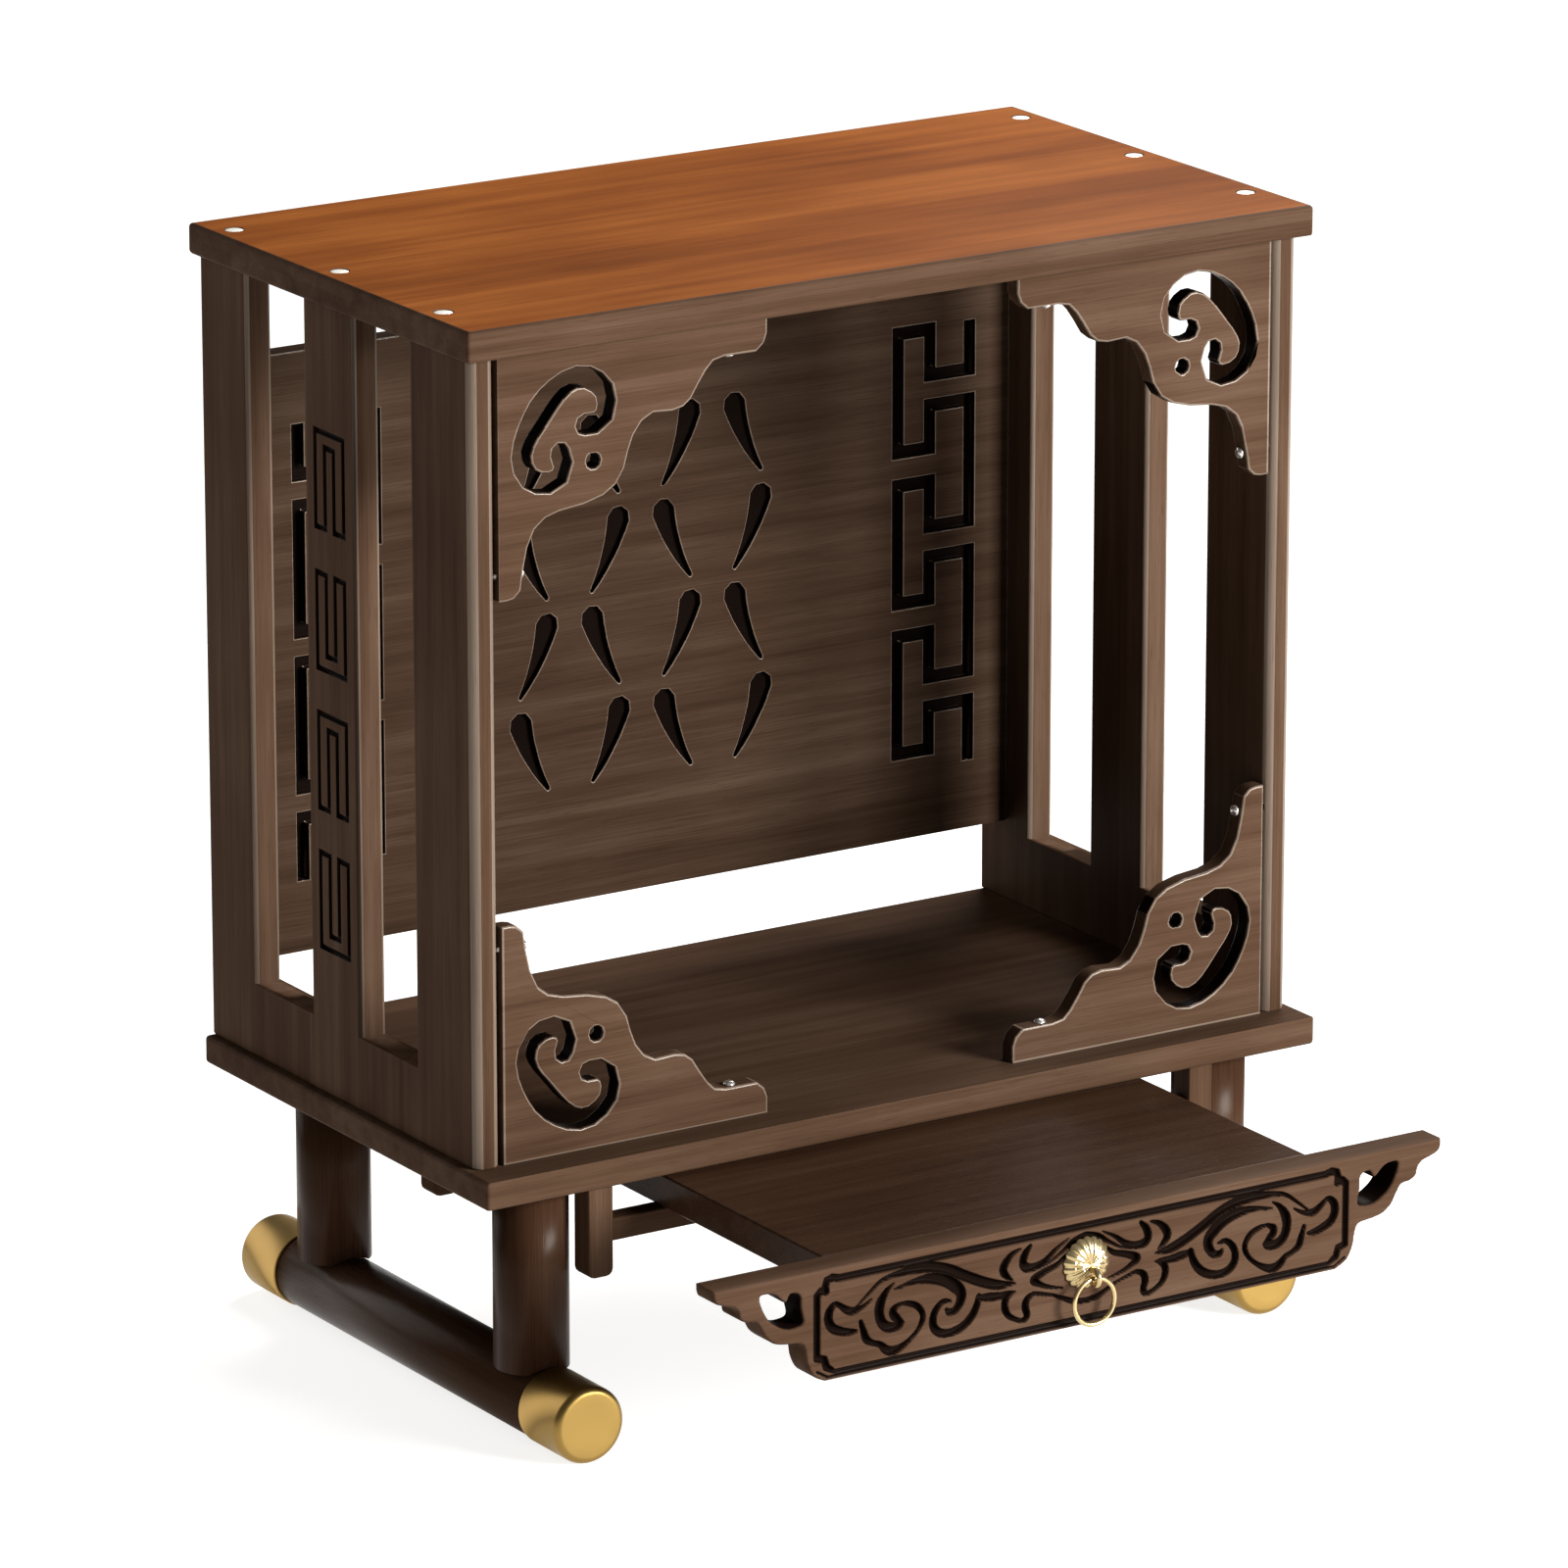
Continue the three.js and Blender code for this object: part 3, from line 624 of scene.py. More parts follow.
def smooth_curve(points: Sequence[Point | Cut], per_span: int = 8) -> np.ndarray:
    """A smooth line through some points, as an array of closely spaced ones.

    Args:
        points: Places, each with a width too if the line has one.
        per_span: How many steps go between two points.

    Returns:
        The points as rows.
    """
    spine = np.array([points[0], *points, points[-1]], float)
    line = []
    for a, b, c, d in zip(spine, spine[1:], spine[2:], spine[3:]):
        for t in np.linspace(0, 1, per_span, endpoint=False):
            line.append(0.5 * (2 * b + (c - a) * t + (2 * a - 5 * b + 4 * c - d) * t**2
                               + (3 * b - a - 3 * c + d) * t**3))
    line.append(spine[-1])
    return np.array(line)


# The cabinet


@dataclass
class Cabinet:
    """The boards of the cabinet and the brackets in its corners.

    Sizes are in millimetres. The key field is the margins in front, behind, below and above the keys.
    The scroll field is shares of a bracket's width and height.
    """

    shop: Workshop
    board_arris: float = 1.7
    upright_arris: float = 0.8
    bracket_arris: float = 0.9
    groove_arris: float = 0.45
    hole_arris: float = 0.3
    key_depth: tuple[float, float] = (0.2, 1.6)
    key_field: tuple[float, float, float, float] = (90, 82, 55, 50)
    fret_depth: tuple[float, float] = (0.3, 5.0)
    scroll_field: tuple[float, float, float, float] = (0.03, 0.46, 0.05, 0.6)
    nose_slant: float = 0.2

    def build(self) -> None:
        """Builds every board."""
        self._plain_boards()
        self._side_panels()
        self._back_panel()
        self._brackets()

    def _add(
        self, node: str, mesh: bpy.types.Mesh, grain: Grain, finish: WoodFinish = DARK_WOOD,
        wear_and_highlight: bool = False,
    ) -> bpy.types.Object:
        """Puts one board in its place and rounds its arrises.

        Args:
            node: The CAD node that it stands for.
            mesh: Its mesh.
            grain: The way that its grain runs.
            finish: What it is made of.
            wear_and_highlight: Whether its arrises take the lighter finish, of wear and a painted highlight.

        Returns:
            The board.
        """
        slot = Slot.TOP_WOOD if finish is TOP_WOOD else Slot.DARK_WOOD
        board = self.shop.piece(node, mesh, finish, grain, slot)
        arrises = round_arrises(board)
        # The rounded arrises take the lighter finish: wear and a painted highlight.
        if wear_and_highlight:
            arrises.material = self.shop.second_finish(mesh, ARRIS_WEAR_AND_HIGHLIGHT, grain)
        return board

    def _plain_boards(self) -> None:
        """The top and base boards, with only their outer edges rounded."""
        for node in ("top_board", "base_board"):
            low, high = (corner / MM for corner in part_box(node))

            def outer(at: Vector, low: Vector = low, high: Vector = high) -> float:
                """Full rounding on the outside edges, and a touch round the screw holes."""
                on_edge = sum(min(at[a] - low[a], high[a] - at[a]) < NEAR for a in range(3))
                return self.board_arris if on_edge >= 2 else self.hole_arris

            mesh = softened(node, outer)
            board = self._add(node, mesh, Grain.ACROSS, TOP_WOOD if node == "top_board" else DARK_WOOD)
            if node == "top_board":
                edges = self.shop.second_finish(mesh, DARK_WOOD, Grain.ACROSS)
                board.modifiers["arrises"].material = edges
                for face in mesh.polygons:
                    face.material_index = 0 if face.normal.z > 0.5 else edges

    def _side_panels(self) -> None:
        """The slotted sides, with their engraved keys."""
        for hand in SIDES:
            node = f"side_panel_{hand}"
            low, high = (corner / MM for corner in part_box(node))
            outer = low.x if hand == "left" else high.x

            def engraved(at: Vector, outer: float = outer, low: Vector = low, high: Vector = high) -> bool:
                """Tells the faces of the keys from the rest.

                Args:
                    at: A face's middle.
                    outer: The panel's outer side.
                    low: One corner of its box.
                    high: The other corner.

                Returns:
                    Whether the face is the floor or a wall of a key.
                """
                front, back, bottom, top = self.key_field
                inside = self.key_depth[0] < abs(at.x - outer) < self.key_depth[1]
                across = low.y + front < at.y < high.y - back
                return inside and across and low.z + bottom < at.z < high.z - top

            # The keys' floors and walls take the carved colour: dark stain with painted shade.
            mesh = softened(node, lambda at: self.upright_arris, engraved)
            self._add(node, mesh, Grain.UP)
            # The noses of the slats and uprights, faces turning from the front to the side, take the lighter
            # finish: wear and a painted highlight.
            wear_and_highlight = self.shop.second_finish(mesh, ARRIS_WEAR_AND_HIGHLIGHT, Grain.UP)
            for face in mesh.polygons:
                if face.normal.y < -self.nose_slant and abs(face.normal.x) > self.nose_slant:
                    face.material_index = wear_and_highlight

    def _back_panel(self) -> None:
        """The back, with its meanders and rows of strokes."""
        low, high = (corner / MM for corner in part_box("back_panel"))

        def carved(at: Vector) -> bool:
            """Whether a face is inside a groove."""
            inside_edge = low.x + 1 < at.x < high.x - 1 and low.z + 1 < at.z < high.z - 1
            return inside_edge and low.y + self.fret_depth[0] < at.y < low.y + self.fret_depth[1]

        def arris(at: Vector) -> float:
            """Rounding of the grooves' edges and the panel's."""
            on_edge = min(at.x - low.x, high.x - at.x, at.z - low.z, high.z - at.z) < NEAR
            return self.upright_arris if on_edge else self.groove_arris

        # The grooves take the carved colour: dark stain with painted shade.
        mesh = softened("back_panel", arris, carved)
        # The whole back takes a darker copy of the dark wood as painted shade; its arrises take the lighter
        # finish of wear and a painted highlight.
        self._add("back_panel", mesh, Grain.ACROSS, PAINTED_SHADE_WOOD, wear_and_highlight=True)

    def _brackets(self) -> None:
        """The four pierced corner brackets."""
        for hand in SIDES:
            for level in ("lower", "upper"):
                self._bracket(hand, level)

    def _bracket(self, hand: str, level: str) -> None:
        """One bracket, with the walls of its pierced scroll darkened by dark stain and painted shade.

        Args:
            hand: The side that it is on.
            level: Whether it is a lower or an upper one.
        """
        node = f"bracket_{level}_{hand}"
        low, high = (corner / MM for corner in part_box(node))

        def arris(at: Vector) -> float:
            """Rounding of the faces' edges, and a touch round the screw holes."""
            on_face = min(at.y - low.y, high.y - at.y) < NEAR
            return self.bracket_arris if on_face else self.hole_arris

        def pierced(at: Vector) -> bool:
            """Tells the walls of the pierced scroll and its dot from the rest.

            Args:
                at: A face's middle.

            Returns:
                Whether the face is such a wall.
            """
            across = (at.x - low.x if hand == "left" else high.x - at.x) / (high.x - low.x)
            along = (at.z - low.z if level == "lower" else high.z - at.z) / (high.z - low.z)
            near_x, far_x, near_z, far_z = self.scroll_field
            in_scroll = near_x < across < far_x and near_z < along < far_z
            return in_scroll and low.y + 0.5 < at.y < high.y - 0.5

        # The scroll's walls take the carved colour, dark stain with painted shade, and the arrises the
        # lighter finish of wear and a painted highlight.
        self._add(node, softened(node, arris, pierced), Grain.ACROSS, wear_and_highlight=True)


# Feet and tray guides


@dataclass
class Feet:
    """The runners, their brass caps, the posts on them and the hangers, with sizes in millimetres."""

    shop: Workshop
    spigot_drop: float = 0.9
    spigot_slope: float = 0.6
    runner_edge: float = 0.5
    saddle_gap: float = 0.3
    post_clearance: float = 0.2
    post_steps: int = 72
    post_rings: int = 8
    cap_gap: float = 0.3
    cap_wall: float = 1.3
    cap_floor: float = 1.5
    cap_rim: float = 3.0
    cap_lip: float = 0.5
    cap_flat: float = 4.0
    hanger_arris: float = 0.8

    def build(self) -> None:
        """Builds everything below the base board."""
        for hand in SIDES:
            self._runner(hand)
            for end in ("front", "rear"):
                self._cap(f"cap_{end}_{hand}", end == "front")
                self._post(f"post_{end}_{hand}", f"runner_{hand}")
                self._bar(f"hanger_{end}_{hand}", Grain.UP)
        self._bar("crossbar_front", Grain.ACROSS)
        self._bar("crossbar_rear", Grain.ACROSS)

    def _bar(self, node: str, grain: Grain) -> None:
        """A square hanger or crossbar."""
        mesh = softened(node, lambda at: self.hanger_arris)
        round_arrises(self.shop.piece(node, mesh, DARK_WOOD, grain, Slot.DARK_WOOD))

    def _runner(self, hand: str) -> None:
        """A round runner whose turned-down ends sit in the caps.

        Args:
            hand: The side that it is on.
        """
        node = f"runner_{hand}"
        low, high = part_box(node)
        front_cap, rear_cap = (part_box(f"cap_{end}_{hand}") for end in ("front", "rear"))
        radius = (high.z - low.z) / 2 / MM
        spigot = radius - self.spigot_drop
        length = (high.y - low.y) / MM
        start = (front_cap[1].y - low.y) / MM + self.cap_gap
        end = (rear_cap[0].y - low.y) / MM - self.cap_gap
        slope, edge = self.spigot_slope, self.runner_edge
        profile = [(0, 0), (spigot, 0), (spigot, start - slope), (radius - edge, start),
                   (radius, start + edge), (radius, end - edge), (radius - edge, end),
                   (spigot, end + slope), (spigot, length), (0, length)]
        place = Vector((middle_of(node).x, low.y, middle_of(node).z))
        mesh = turned(node, profile, place, Grain.DEEP)
        self.shop.piece(node, mesh, GLOSSY_WOOD, Grain.DEEP, Slot.DARK_WOOD)

    def _cap(self, node: str, at_front: bool) -> None:
        """A brass cap: a cup with a rounded end and a soft lip.

        Args:
            node: Its CAD node.
            at_front: Whether it closes the runner's front end.
        """
        low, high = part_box(node)
        radius = (high.z - low.z) / 2 / MM
        length = (high.y - low.y) / MM
        bore = radius - self.cap_wall
        rim, lip = self.cap_rim, self.cap_lip
        profile = [(0, 0), (radius - rim - self.cap_flat, 0), *arc((radius - rim, rim), rim, -90, 0, 10),
                   (radius, length - lip), *arc((radius - lip, length - lip), lip, 0, 90, 4),
                   (bore + 0.1, length), (bore, length - 0.4), (bore, self.cap_floor), (0, self.cap_floor)]
        if not at_front:
            profile = [(r, length - y) for r, y in profile]
        mesh = turned(node, profile, Vector((middle_of(node).x, low.y, middle_of(node).z)), Grain.DEEP, 96)
        self.shop.piece(node, mesh, SATIN_BRASS, Grain.DEEP, Slot.BRASS)

    def _post(self, node: str, runner: str) -> None:
        """A round post that stands on the runner in a shallow saddle.

        Args:
            node: Its CAD node.
            runner: The CAD node of the runner under it.
        """
        low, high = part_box(node)
        centre = middle_of(node)
        axis = middle_of(runner)
        runner_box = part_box(runner)
        saddle = (runner_box[1].z - runner_box[0].z) / 2 + self.saddle_gap * MM
        steps, rings = self.post_steps, self.post_rings
        radius = (high.x - low.x) / 2
        saddle = max(saddle, radius + self.post_clearance * MM)
        bm = bmesh.new()

        def foot(x: float) -> float:
            """The height of the foot at a place across the runner."""
            return max(low.z, axis.z + math.sqrt(saddle**2 - (x - axis.x) ** 2))

        def ring(share: float, height: Callable[[float], float]) -> list[bmesh.types.BMVert]:
            """Adds a ring of corners.

            Args:
                share: Its share of the post's radius.
                height: Gives the height at a place across the runner.

            Returns:
                The corners.
            """
            points = [(centre.x + radius * share * math.cos(math.tau * i / steps),
                       centre.y + radius * share * math.sin(math.tau * i / steps)) for i in range(steps)]
            return [bm.verts.new((x, y, height(x))) for x, y in points]

        loops = [ring(share / rings, foot) for share in range(1, rings + 1)]
        loops += [ring(1.0, lambda x: high.z), ring(0.5, lambda x: high.z)]
        for inner, outer in zip(loops, loops[1:]):
            for i in range(steps):
                bm.faces.new((inner[i], inner[(i + 1) % steps], outer[(i + 1) % steps], outer[i]))
        bm.faces.new(loops[0])
        bm.faces.new(loops[-1])
        for edge in bm.edges:
            edge.smooth = len(edge.link_faces) < 2 or edge.calc_face_angle() < math.radians(40)
        mesh = mesh_from(bm, node)
        self.shop.piece(node, mesh, GLOSSY_WOOD, Grain.UP, Slot.DARK_WOOD)


@dataclass
class Screws:
    """The flush screws in the top board and the domed ones in the brackets."""

    shop: Workshop
    shank: float = 1.7
    cone_start: float = 2.7
    cone_end: float = 1.2
    dome: float = 0.35
    bracket_shank: float = 1.35
    head_height: float = 1.6

    def build(self) -> None:
        """Builds every screw."""
        for index in range(1, 7):
            self._top(f"top_screw_{index}")
        for hand, side in (("left", -1), ("right", 1)):
            for level, up in (("lower", 1), ("upper", -1)):
                self._domed(f"bracket_screw_leg_{level}_{hand}", Grain.ACROSS, -side)
                self._domed(f"bracket_screw_arm_{level}_{hand}", Grain.UP, up)

    def _top(self, node: str) -> None:
        """A flush screw: a low dome over a countersunk head and a plain shank.

        Args:
            node: Its CAD node.
        """
        low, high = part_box(node)
        length = (high.z - low.z) / MM
        head = (high.y - low.y) / 2 / MM
        dome = [(head * math.cos(a), length - self.dome + self.dome * math.sin(a))
                for a in (math.radians(15 * step) for step in range(6))]
        profile = [(0, 0), (self.shank, 0), (self.shank, length - self.cone_start),
                   (head, length - self.cone_end), *dome, (0, length)]
        place = Vector((middle_of(node).x, middle_of(node).y, low.z))
        self.shop.piece(node, turned(node, profile, place, Grain.UP, 40), PLATED, Grain.UP, Slot.STEEL)

    def _domed(self, node: str, axis: Grain, direction: int) -> None:
        """A round-headed screw through a bracket.

        Args:
            node: Its CAD node.
            axis: The axis that it lies along.
            direction: 1 or -1, for the end of the axis that its head is at.
        """
        low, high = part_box(node)
        length = (high[axis.value] - low[axis.value]) / MM
        head = (high.y - low.y) / 2 / MM
        tall, shank = self.head_height, self.bracket_shank
        dome = [(head * math.cos(math.radians(a)), length - tall + tall * math.sin(math.radians(a)))
                for a in range(0, 90, 15)]
        profile = [(0, 0), (shank, 0), (shank, length - tall), *dome, (0, length)]
        if direction < 0:
            profile = [(r, length - h) for r, h in profile]
        place = middle_of(node)
        place[axis.value] = low[axis.value]
        self.shop.piece(node, turned(node, profile, place, axis, 32), STEEL, axis, Slot.STEEL)


# The tray


@dataclass
class Groove:
    """A carved line of changing width.

    Attributes:
        line: Its points, in millimetres from the middle and below the top edge.
        half: Half its width at each point.
        depth: How deep it is cut.
    """

    line: np.ndarray
    half: np.ndarray
    depth: float


@dataclass
class TrayFront:
    """The carved front of the tray, as one fine mesh.

    Its outline and carving are given for the right half, as distances from the middle and below the
    top edge, in millimetres, and mirrored.
    """

    shop: Workshop
    cell: float = 0.42
    arris: float = 1.1
    carving_depth: float = 2.5
    spread: float = 1.42
    frame_mm: float = 2.9
    frame_depth: float = 1.9
    lower_line_mm: float = 1.0
    frame_thin: float = 0.6
    hole_rim_mm: float = 0.2
    outline_steps: int = 5
    frame_corner: tuple[Point, ...] = (
        (0, 5), (116, 5), (119.2, 4.2), (121.6, 5), (122.4, 7.4), (122, 9.4), (124.4, 8.8), (126.2, 10.6),
    )
    frame_foot: tuple[Point, ...] = ((126.2, 10.2), (122.8, 9.2), (121.8, 5.8), (118, 3.3), (0, 3.3))
    lower_line: tuple[Point, ...] = ((0, 1.5), (121, 1.5), (126, 4.5))
    wing: tuple[Point, ...] = (
        (173.5, 2.5), (172.4, 5.2), (168.4, 6.9), (164.5, 8.1), (162.2, 10.5), (161.4, 13.6),
        (158.5, 15.4), (154.2, 16.2), (151.5, 20), (149.4, 23.6), (145.5, 26.7), (140.5, 28),
        (133.5, 29), (131.6, 32), (130.5, 38), (127.5, 43.5), (122, 46.5),
    )
    wing_hole: tuple[Point, ...] = (
        (134, 9), (138, 7.5), (140.5, 10.7), (145, 7), (148.5, 5.8), (152, 6.3), (151, 11), (147.5, 17),
        (141, 21.2), (135.5, 21.6), (132.5, 20), (133.6, 14),
    )
    scrolls: tuple[tuple[Cut, ...], ...] = (
        # The big leaf's upper and inner lines
        ((33.6, 22.8, 0.6), (40.8, 22.1, 2.5), (48.3, 19.5, 2.8), (56.9, 15.3, 2.8), (64.5, 11.2, 2.8),
         (73, 8.6, 2.8), (82.5, 8.1, 2.3), (91.9, 8.8, 1.5), (96.7, 10, 1.1), (101.4, 13.3, 0.9),
         (108, 18.6, 0.6)),
        ((65.9, 27.5, 0.9), (64.5, 28.9, 1.9), (61.6, 28.4, 2.1), (59.2, 24.9, 2.7), (59.2, 21.6, 3),
         (61.6, 18.7, 3.4), (66.4, 15.4, 3.2), (73, 13.3, 2.8), (80.6, 13.1, 1.7), (90, 14.5, 0.6)),
        # The small curl under it
        ((50.7, 24.9, 1.5), (51.7, 28.8, 2.1), (54.5, 33.2, 2.3), (58.8, 36.2, 2.3), (63.5, 37.4, 2.3),
         (68.2, 36.9, 2.3), (71.6, 34.2, 2.3), (72.2, 30.1, 2.1), (70.6, 26.4, 1.9), (67.3, 23.9, 1.4),
         (64, 24.4, 0.8)),
        # The leaf's spiral end, its eye and its crinkled rim
        ((90.5, 12, 0.5), (93.8, 14.4, 1.5), (96.7, 18.8, 2.7), (97.3, 23.3, 2.7), (96, 27.3, 2.7),
         (92.9, 29.7, 2.7), (88.6, 29.9, 2.3), (86.3, 28.9, 0.9)),
        ((87.2, 20.9, 0.8), (90.5, 22.6, 1.9), (90.8, 24.7, 2.3), (89.1, 26.7, 2.1), (86.7, 28.4, 0.9)),
        ((88.2, 20.9, 0.8), (83.4, 21.7, 1.5), (79.6, 23.5, 1.7), (77.3, 26.5, 1.6), (77.1, 29.6, 1.6),
         (79.1, 33.2, 1.2), (82.9, 36.6, 1.3), (87.2, 39, 1.9), (91, 39.9, 2.5), (94.3, 38.6, 2.3),
         (96.9, 36.1, 1.7), (100.5, 34.7, 1.6), (103.3, 32.7, 2.1), (104.5, 29.5, 1.9),
         (105.9, 25, 1.2)),
        # The flame at the outer end
        ((100.9, 16.6, 0.6), (105.2, 19, 1.2), (110, 19.8, 2.1), (113.3, 18.3, 1.9),
         (115.6, 16.4, 1.4), (118, 15.5, 1.5), (120.4, 17.9, 2.3), (120.9, 21.6, 2.5),
         (119, 25.1, 2.5), (115.2, 27.1, 2.3), (110.9, 28.3, 1.9), (108, 28.3, 1)),
        # The flower by the boss
        ((8, 8.8, 0.4), (14.2, 12.2, 1.1), (19, 15.9, 1.7), (23.7, 17.6, 2.1), (28, 17.4, 2.5),
         (29.9, 15.1, 2.3), (28.9, 11.6, 2.1), (26.4, 8.6, 1.1)),
        ((31.1, 9, 0.6), (35.1, 10.5, 1.5), (38.4, 13.8, 2.3), (39.1, 16.8, 2.3), (37, 19.6, 1.5),
         (34.9, 21.2, 0.6)),
        ((33.6, 26.3, 0.6), (37, 26.6, 1.7), (40.8, 26.7, 2.1), (46.4, 26.1, 2.3), (51, 25.4, 1.5)),
        ((14, 31.6, 0.8), (20.4, 29.8, 1.1), (24.6, 29, 1.3), (27.7, 30.4, 1.9), (28.7, 33.3, 2.1),
         (27.8, 37.2, 1.9), (29.6, 39, 1.5), (33.2, 37.9, 1.3), (36.8, 35.4, 1.7), (38.4, 31.7, 2.1),
         (37.7, 28.5, 1.9), (34.6, 26.5, 0.8)),
        # The spear's point and the bands that pass over and under the boss
        ((3.3, 13.3, 0.5), (9.5, 15.8, 0.9), (13.7, 18.8, 1.5), (19.9, 20.7, 1.9), (24.6, 23.1, 2.3),
         (21.8, 25.4, 1.5), (17.1, 27.5, 1.1), (11, 29, 0.6)),
        ((0, 9.1, 2.1), (5.7, 10.6, 1.9), (10.9, 13.6, 1), (16.6, 16.9, 0.8), (22.7, 18.9, 0.5)),
        ((0, 36.4, 1.6), (6, 35.4, 1.6), (11, 33.2, 1.2), (15, 31.4, 0.8)),
    )

    def build(self) -> None:
        """Builds the relief and puts it in the place of its node."""
        low, high = (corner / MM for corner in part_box("tray_front"))
        outlines = [self._outline_loop(), self._hole_loop()]
        outlines.append(outlines[1] * (-1, 1))
        columns = np.arange(low.x, high.x + self.cell / 2, self.cell)
        rows = np.arange(0, high.z - low.z + self.cell / 2, self.cell)
        across, down = np.meshgrid(columns, rows)
        centre_x = (across[:-1, :-1] + across[1:, 1:]) / 2
        centre_v = (down[:-1, :-1] + down[1:, 1:]) / 2
        kept = self._inside(centre_x, centre_v, outlines)
        across, down = self._snapped(across, down, kept, outlines)
        away = self._distance(across, down, outlines)
        edge = np.clip(1 - away / self.arris, 0, 1)
        sunk = self.arris * (1 - np.sqrt(np.clip(1 - edge**2, 0, 1)))
        # The carving's shade darkens the grooves towards the carved colour: dark stain with painted shade.
        carved, shade = self._carving(np.abs(across), down)
        # The walls and rims of the wing holes get the same painted shade.
        shade = np.maximum(shade, self._distance(across, down, outlines[1:]) < self.hole_rim_mm)
        sunk = np.maximum(sunk, carved)
        mesh = self._mesh(across, down, sunk, shade, kept, low.y, high.y, high.z)
        self.shop.piece("tray_front", mesh, DARK_WOOD, Grain.ACROSS, Slot.DARK_WOOD)

    def _outline_loop(self) -> np.ndarray:
        """The whole outline as a closed loop."""
        right = np.vstack([(self.wing[0][0], 0), smooth_curve(self.wing, self.outline_steps)])
        return np.vstack([right, right[::-1] * (-1, 1)])

    def _hole_loop(self) -> np.ndarray:
        """The hole through the right wing.

        Returns:
            Its outline, as a closed loop.
        """
        before, after = self.wing_hole[-2:], self.wing_hole[:3]
        steps = self.outline_steps
        around = smooth_curve([*before, *self.wing_hole, *after], steps)
        return around[len(before) * steps:(len(before) + len(self.wing_hole)) * steps]

    @staticmethod
    def _inside(x: np.ndarray, v: np.ndarray, loops: Sequence[np.ndarray]) -> np.ndarray:
        """Sorts points into those on the wood and those off it.

        Args:
            x: Their distances from the middle.
            v: Their distances below the top edge.
            loops: The closed outlines.

        Returns:
            Whether each is inside the outer loop and outside the holes.
        """
        crossings = np.zeros(x.shape, int)
        for loop in loops:
            for (x0, v0), (x1, v1) in zip(loop, np.roll(loop, -1, axis=0)):
                if v0 == v1:
                    continue
                spans = (v0 > v) != (v1 > v)
                crossings += spans & (x < (x1 - x0) * (v - v0) / (v1 - v0) + x0)
        return crossings % 2 == 1

    @staticmethod
    def _nearest(x: np.ndarray, v: np.ndarray, loops: Sequence[np.ndarray]) -> tuple[np.ndarray, ...]:
        """Finds the nearest point of the loops to each point.

        Args:
            x: Their distances from the middle.
            v: Their distances below the top edge.
            loops: The closed outlines.

        Returns:
            Its distance from the middle, its distance below the top edge and how far it is.
        """
        best = np.full(x.shape, 1e9)
        near_x, near_v = x.copy(), v.copy()
        for loop in loops:
            for a, b in zip(loop, np.roll(loop, -1, axis=0)):
                step = b - a
                t = np.clip(((x - a[0]) * step[0] + (v - a[1]) * step[1]) / (step @ step), 0, 1)
                px, pv = a[0] + t * step[0], a[1] + t * step[1]
                gap = np.hypot(x - px, v - pv)
                closer = gap < best
                best = np.where(closer, gap, best)
                near_x = np.where(closer, px, near_x)
                near_v = np.where(closer, pv, near_v)
        return near_x, near_v, best

    def _distance(self, x: np.ndarray, v: np.ndarray, loops: Sequence[np.ndarray]) -> np.ndarray:
        """How far each point is from the outline."""
        return self._nearest(x, v, loops)[2]

    def _snapped(
        self, x: np.ndarray, v: np.ndarray, kept: np.ndarray, loops: Sequence[np.ndarray]
    ) -> tuple[np.ndarray, np.ndarray]:
        """Moves the corners of the border's cells onto the outline.

        Args:
            x: Their distances from the middle.
            v: Their distances below the top edge.
            kept: Which cells are wood.
            loops: The closed outlines.

        Returns:
            The moved grid.
        """
        padded = np.pad(kept, 1)
        around = np.stack([padded[:-1, :-1], padded[:-1, 1:], padded[1:, :-1], padded[1:, 1:]])
        border = around.any(axis=0) & ~around.all(axis=0)
        near_x, near_v, _ = self._nearest(x, v, loops)
        return np.where(border, near_x, x), np.where(border, near_v, v)

    def _grooves(self) -> list[Groove]:
        """Collects every carved line of the right half.

        Returns:
            The lines.
        """
        grooves = []
        for cuts in self.scrolls:
            along = smooth_curve(cuts, 7)
            grooves.append(Groove(along[:, :2], along[:, 2] * self.spread / 2, self.carving_depth))
        bottom = self.wing[-1][1]
        foot = [(across, bottom - up) for across, up in self.frame_foot]
        frame_line = np.array([*self.frame_corner, *foot], float)
        wide = np.full(len(frame_line), self.frame_mm / 2)
        wide[-2:] *= self.frame_thin
        grooves.append(Groove(frame_line, wide, self.frame_depth))
        under = np.array([(across, bottom - up) for across, up in self.lower_line], float)
        grooves.append(Groove(under, np.full(len(under), self.lower_line_mm / 2), self.frame_depth / 2))
        return grooves

    def _carving(self, x: np.ndarray, v: np.ndarray) -> tuple[np.ndarray, np.ndarray]:
        """Works out the carving at each point.

        Args:
            x: Their distances from the middle.
            v: Their distances below the top edge.

        Returns:
            How deep it is, and how dark its hollow is coloured, by dark stain and painted shade.
        """
        depth = np.zeros(x.shape)
        shade = np.zeros(x.shape)
        for groove in self._grooves():
            for a, b, wide_a, wide_b in zip(groove.line, groove.line[1:], groove.half, groove.half[1:]):
                step = b - a
                length = max(step @ step, 1e-9)
                t = np.clip(((x - a[0]) * step[0] + (v - a[1]) * step[1]) / length, 0, 1)
                half = wide_a + (wide_b - wide_a) * t
                share = np.hypot(x - a[0] - t * step[0], v - a[1] - t * step[1]) / half
                deepest = np.minimum(groove.depth, half * 2.2)
                depth = np.maximum(depth, deepest * np.sqrt(np.clip(1 - share**6, 0, 1)))
                # Dark out to a little past the groove's edge: dark stain with painted shade.
                shade = np.maximum(shade, np.clip((1.25 - share) * 6, 0, 1))
        return depth, shade

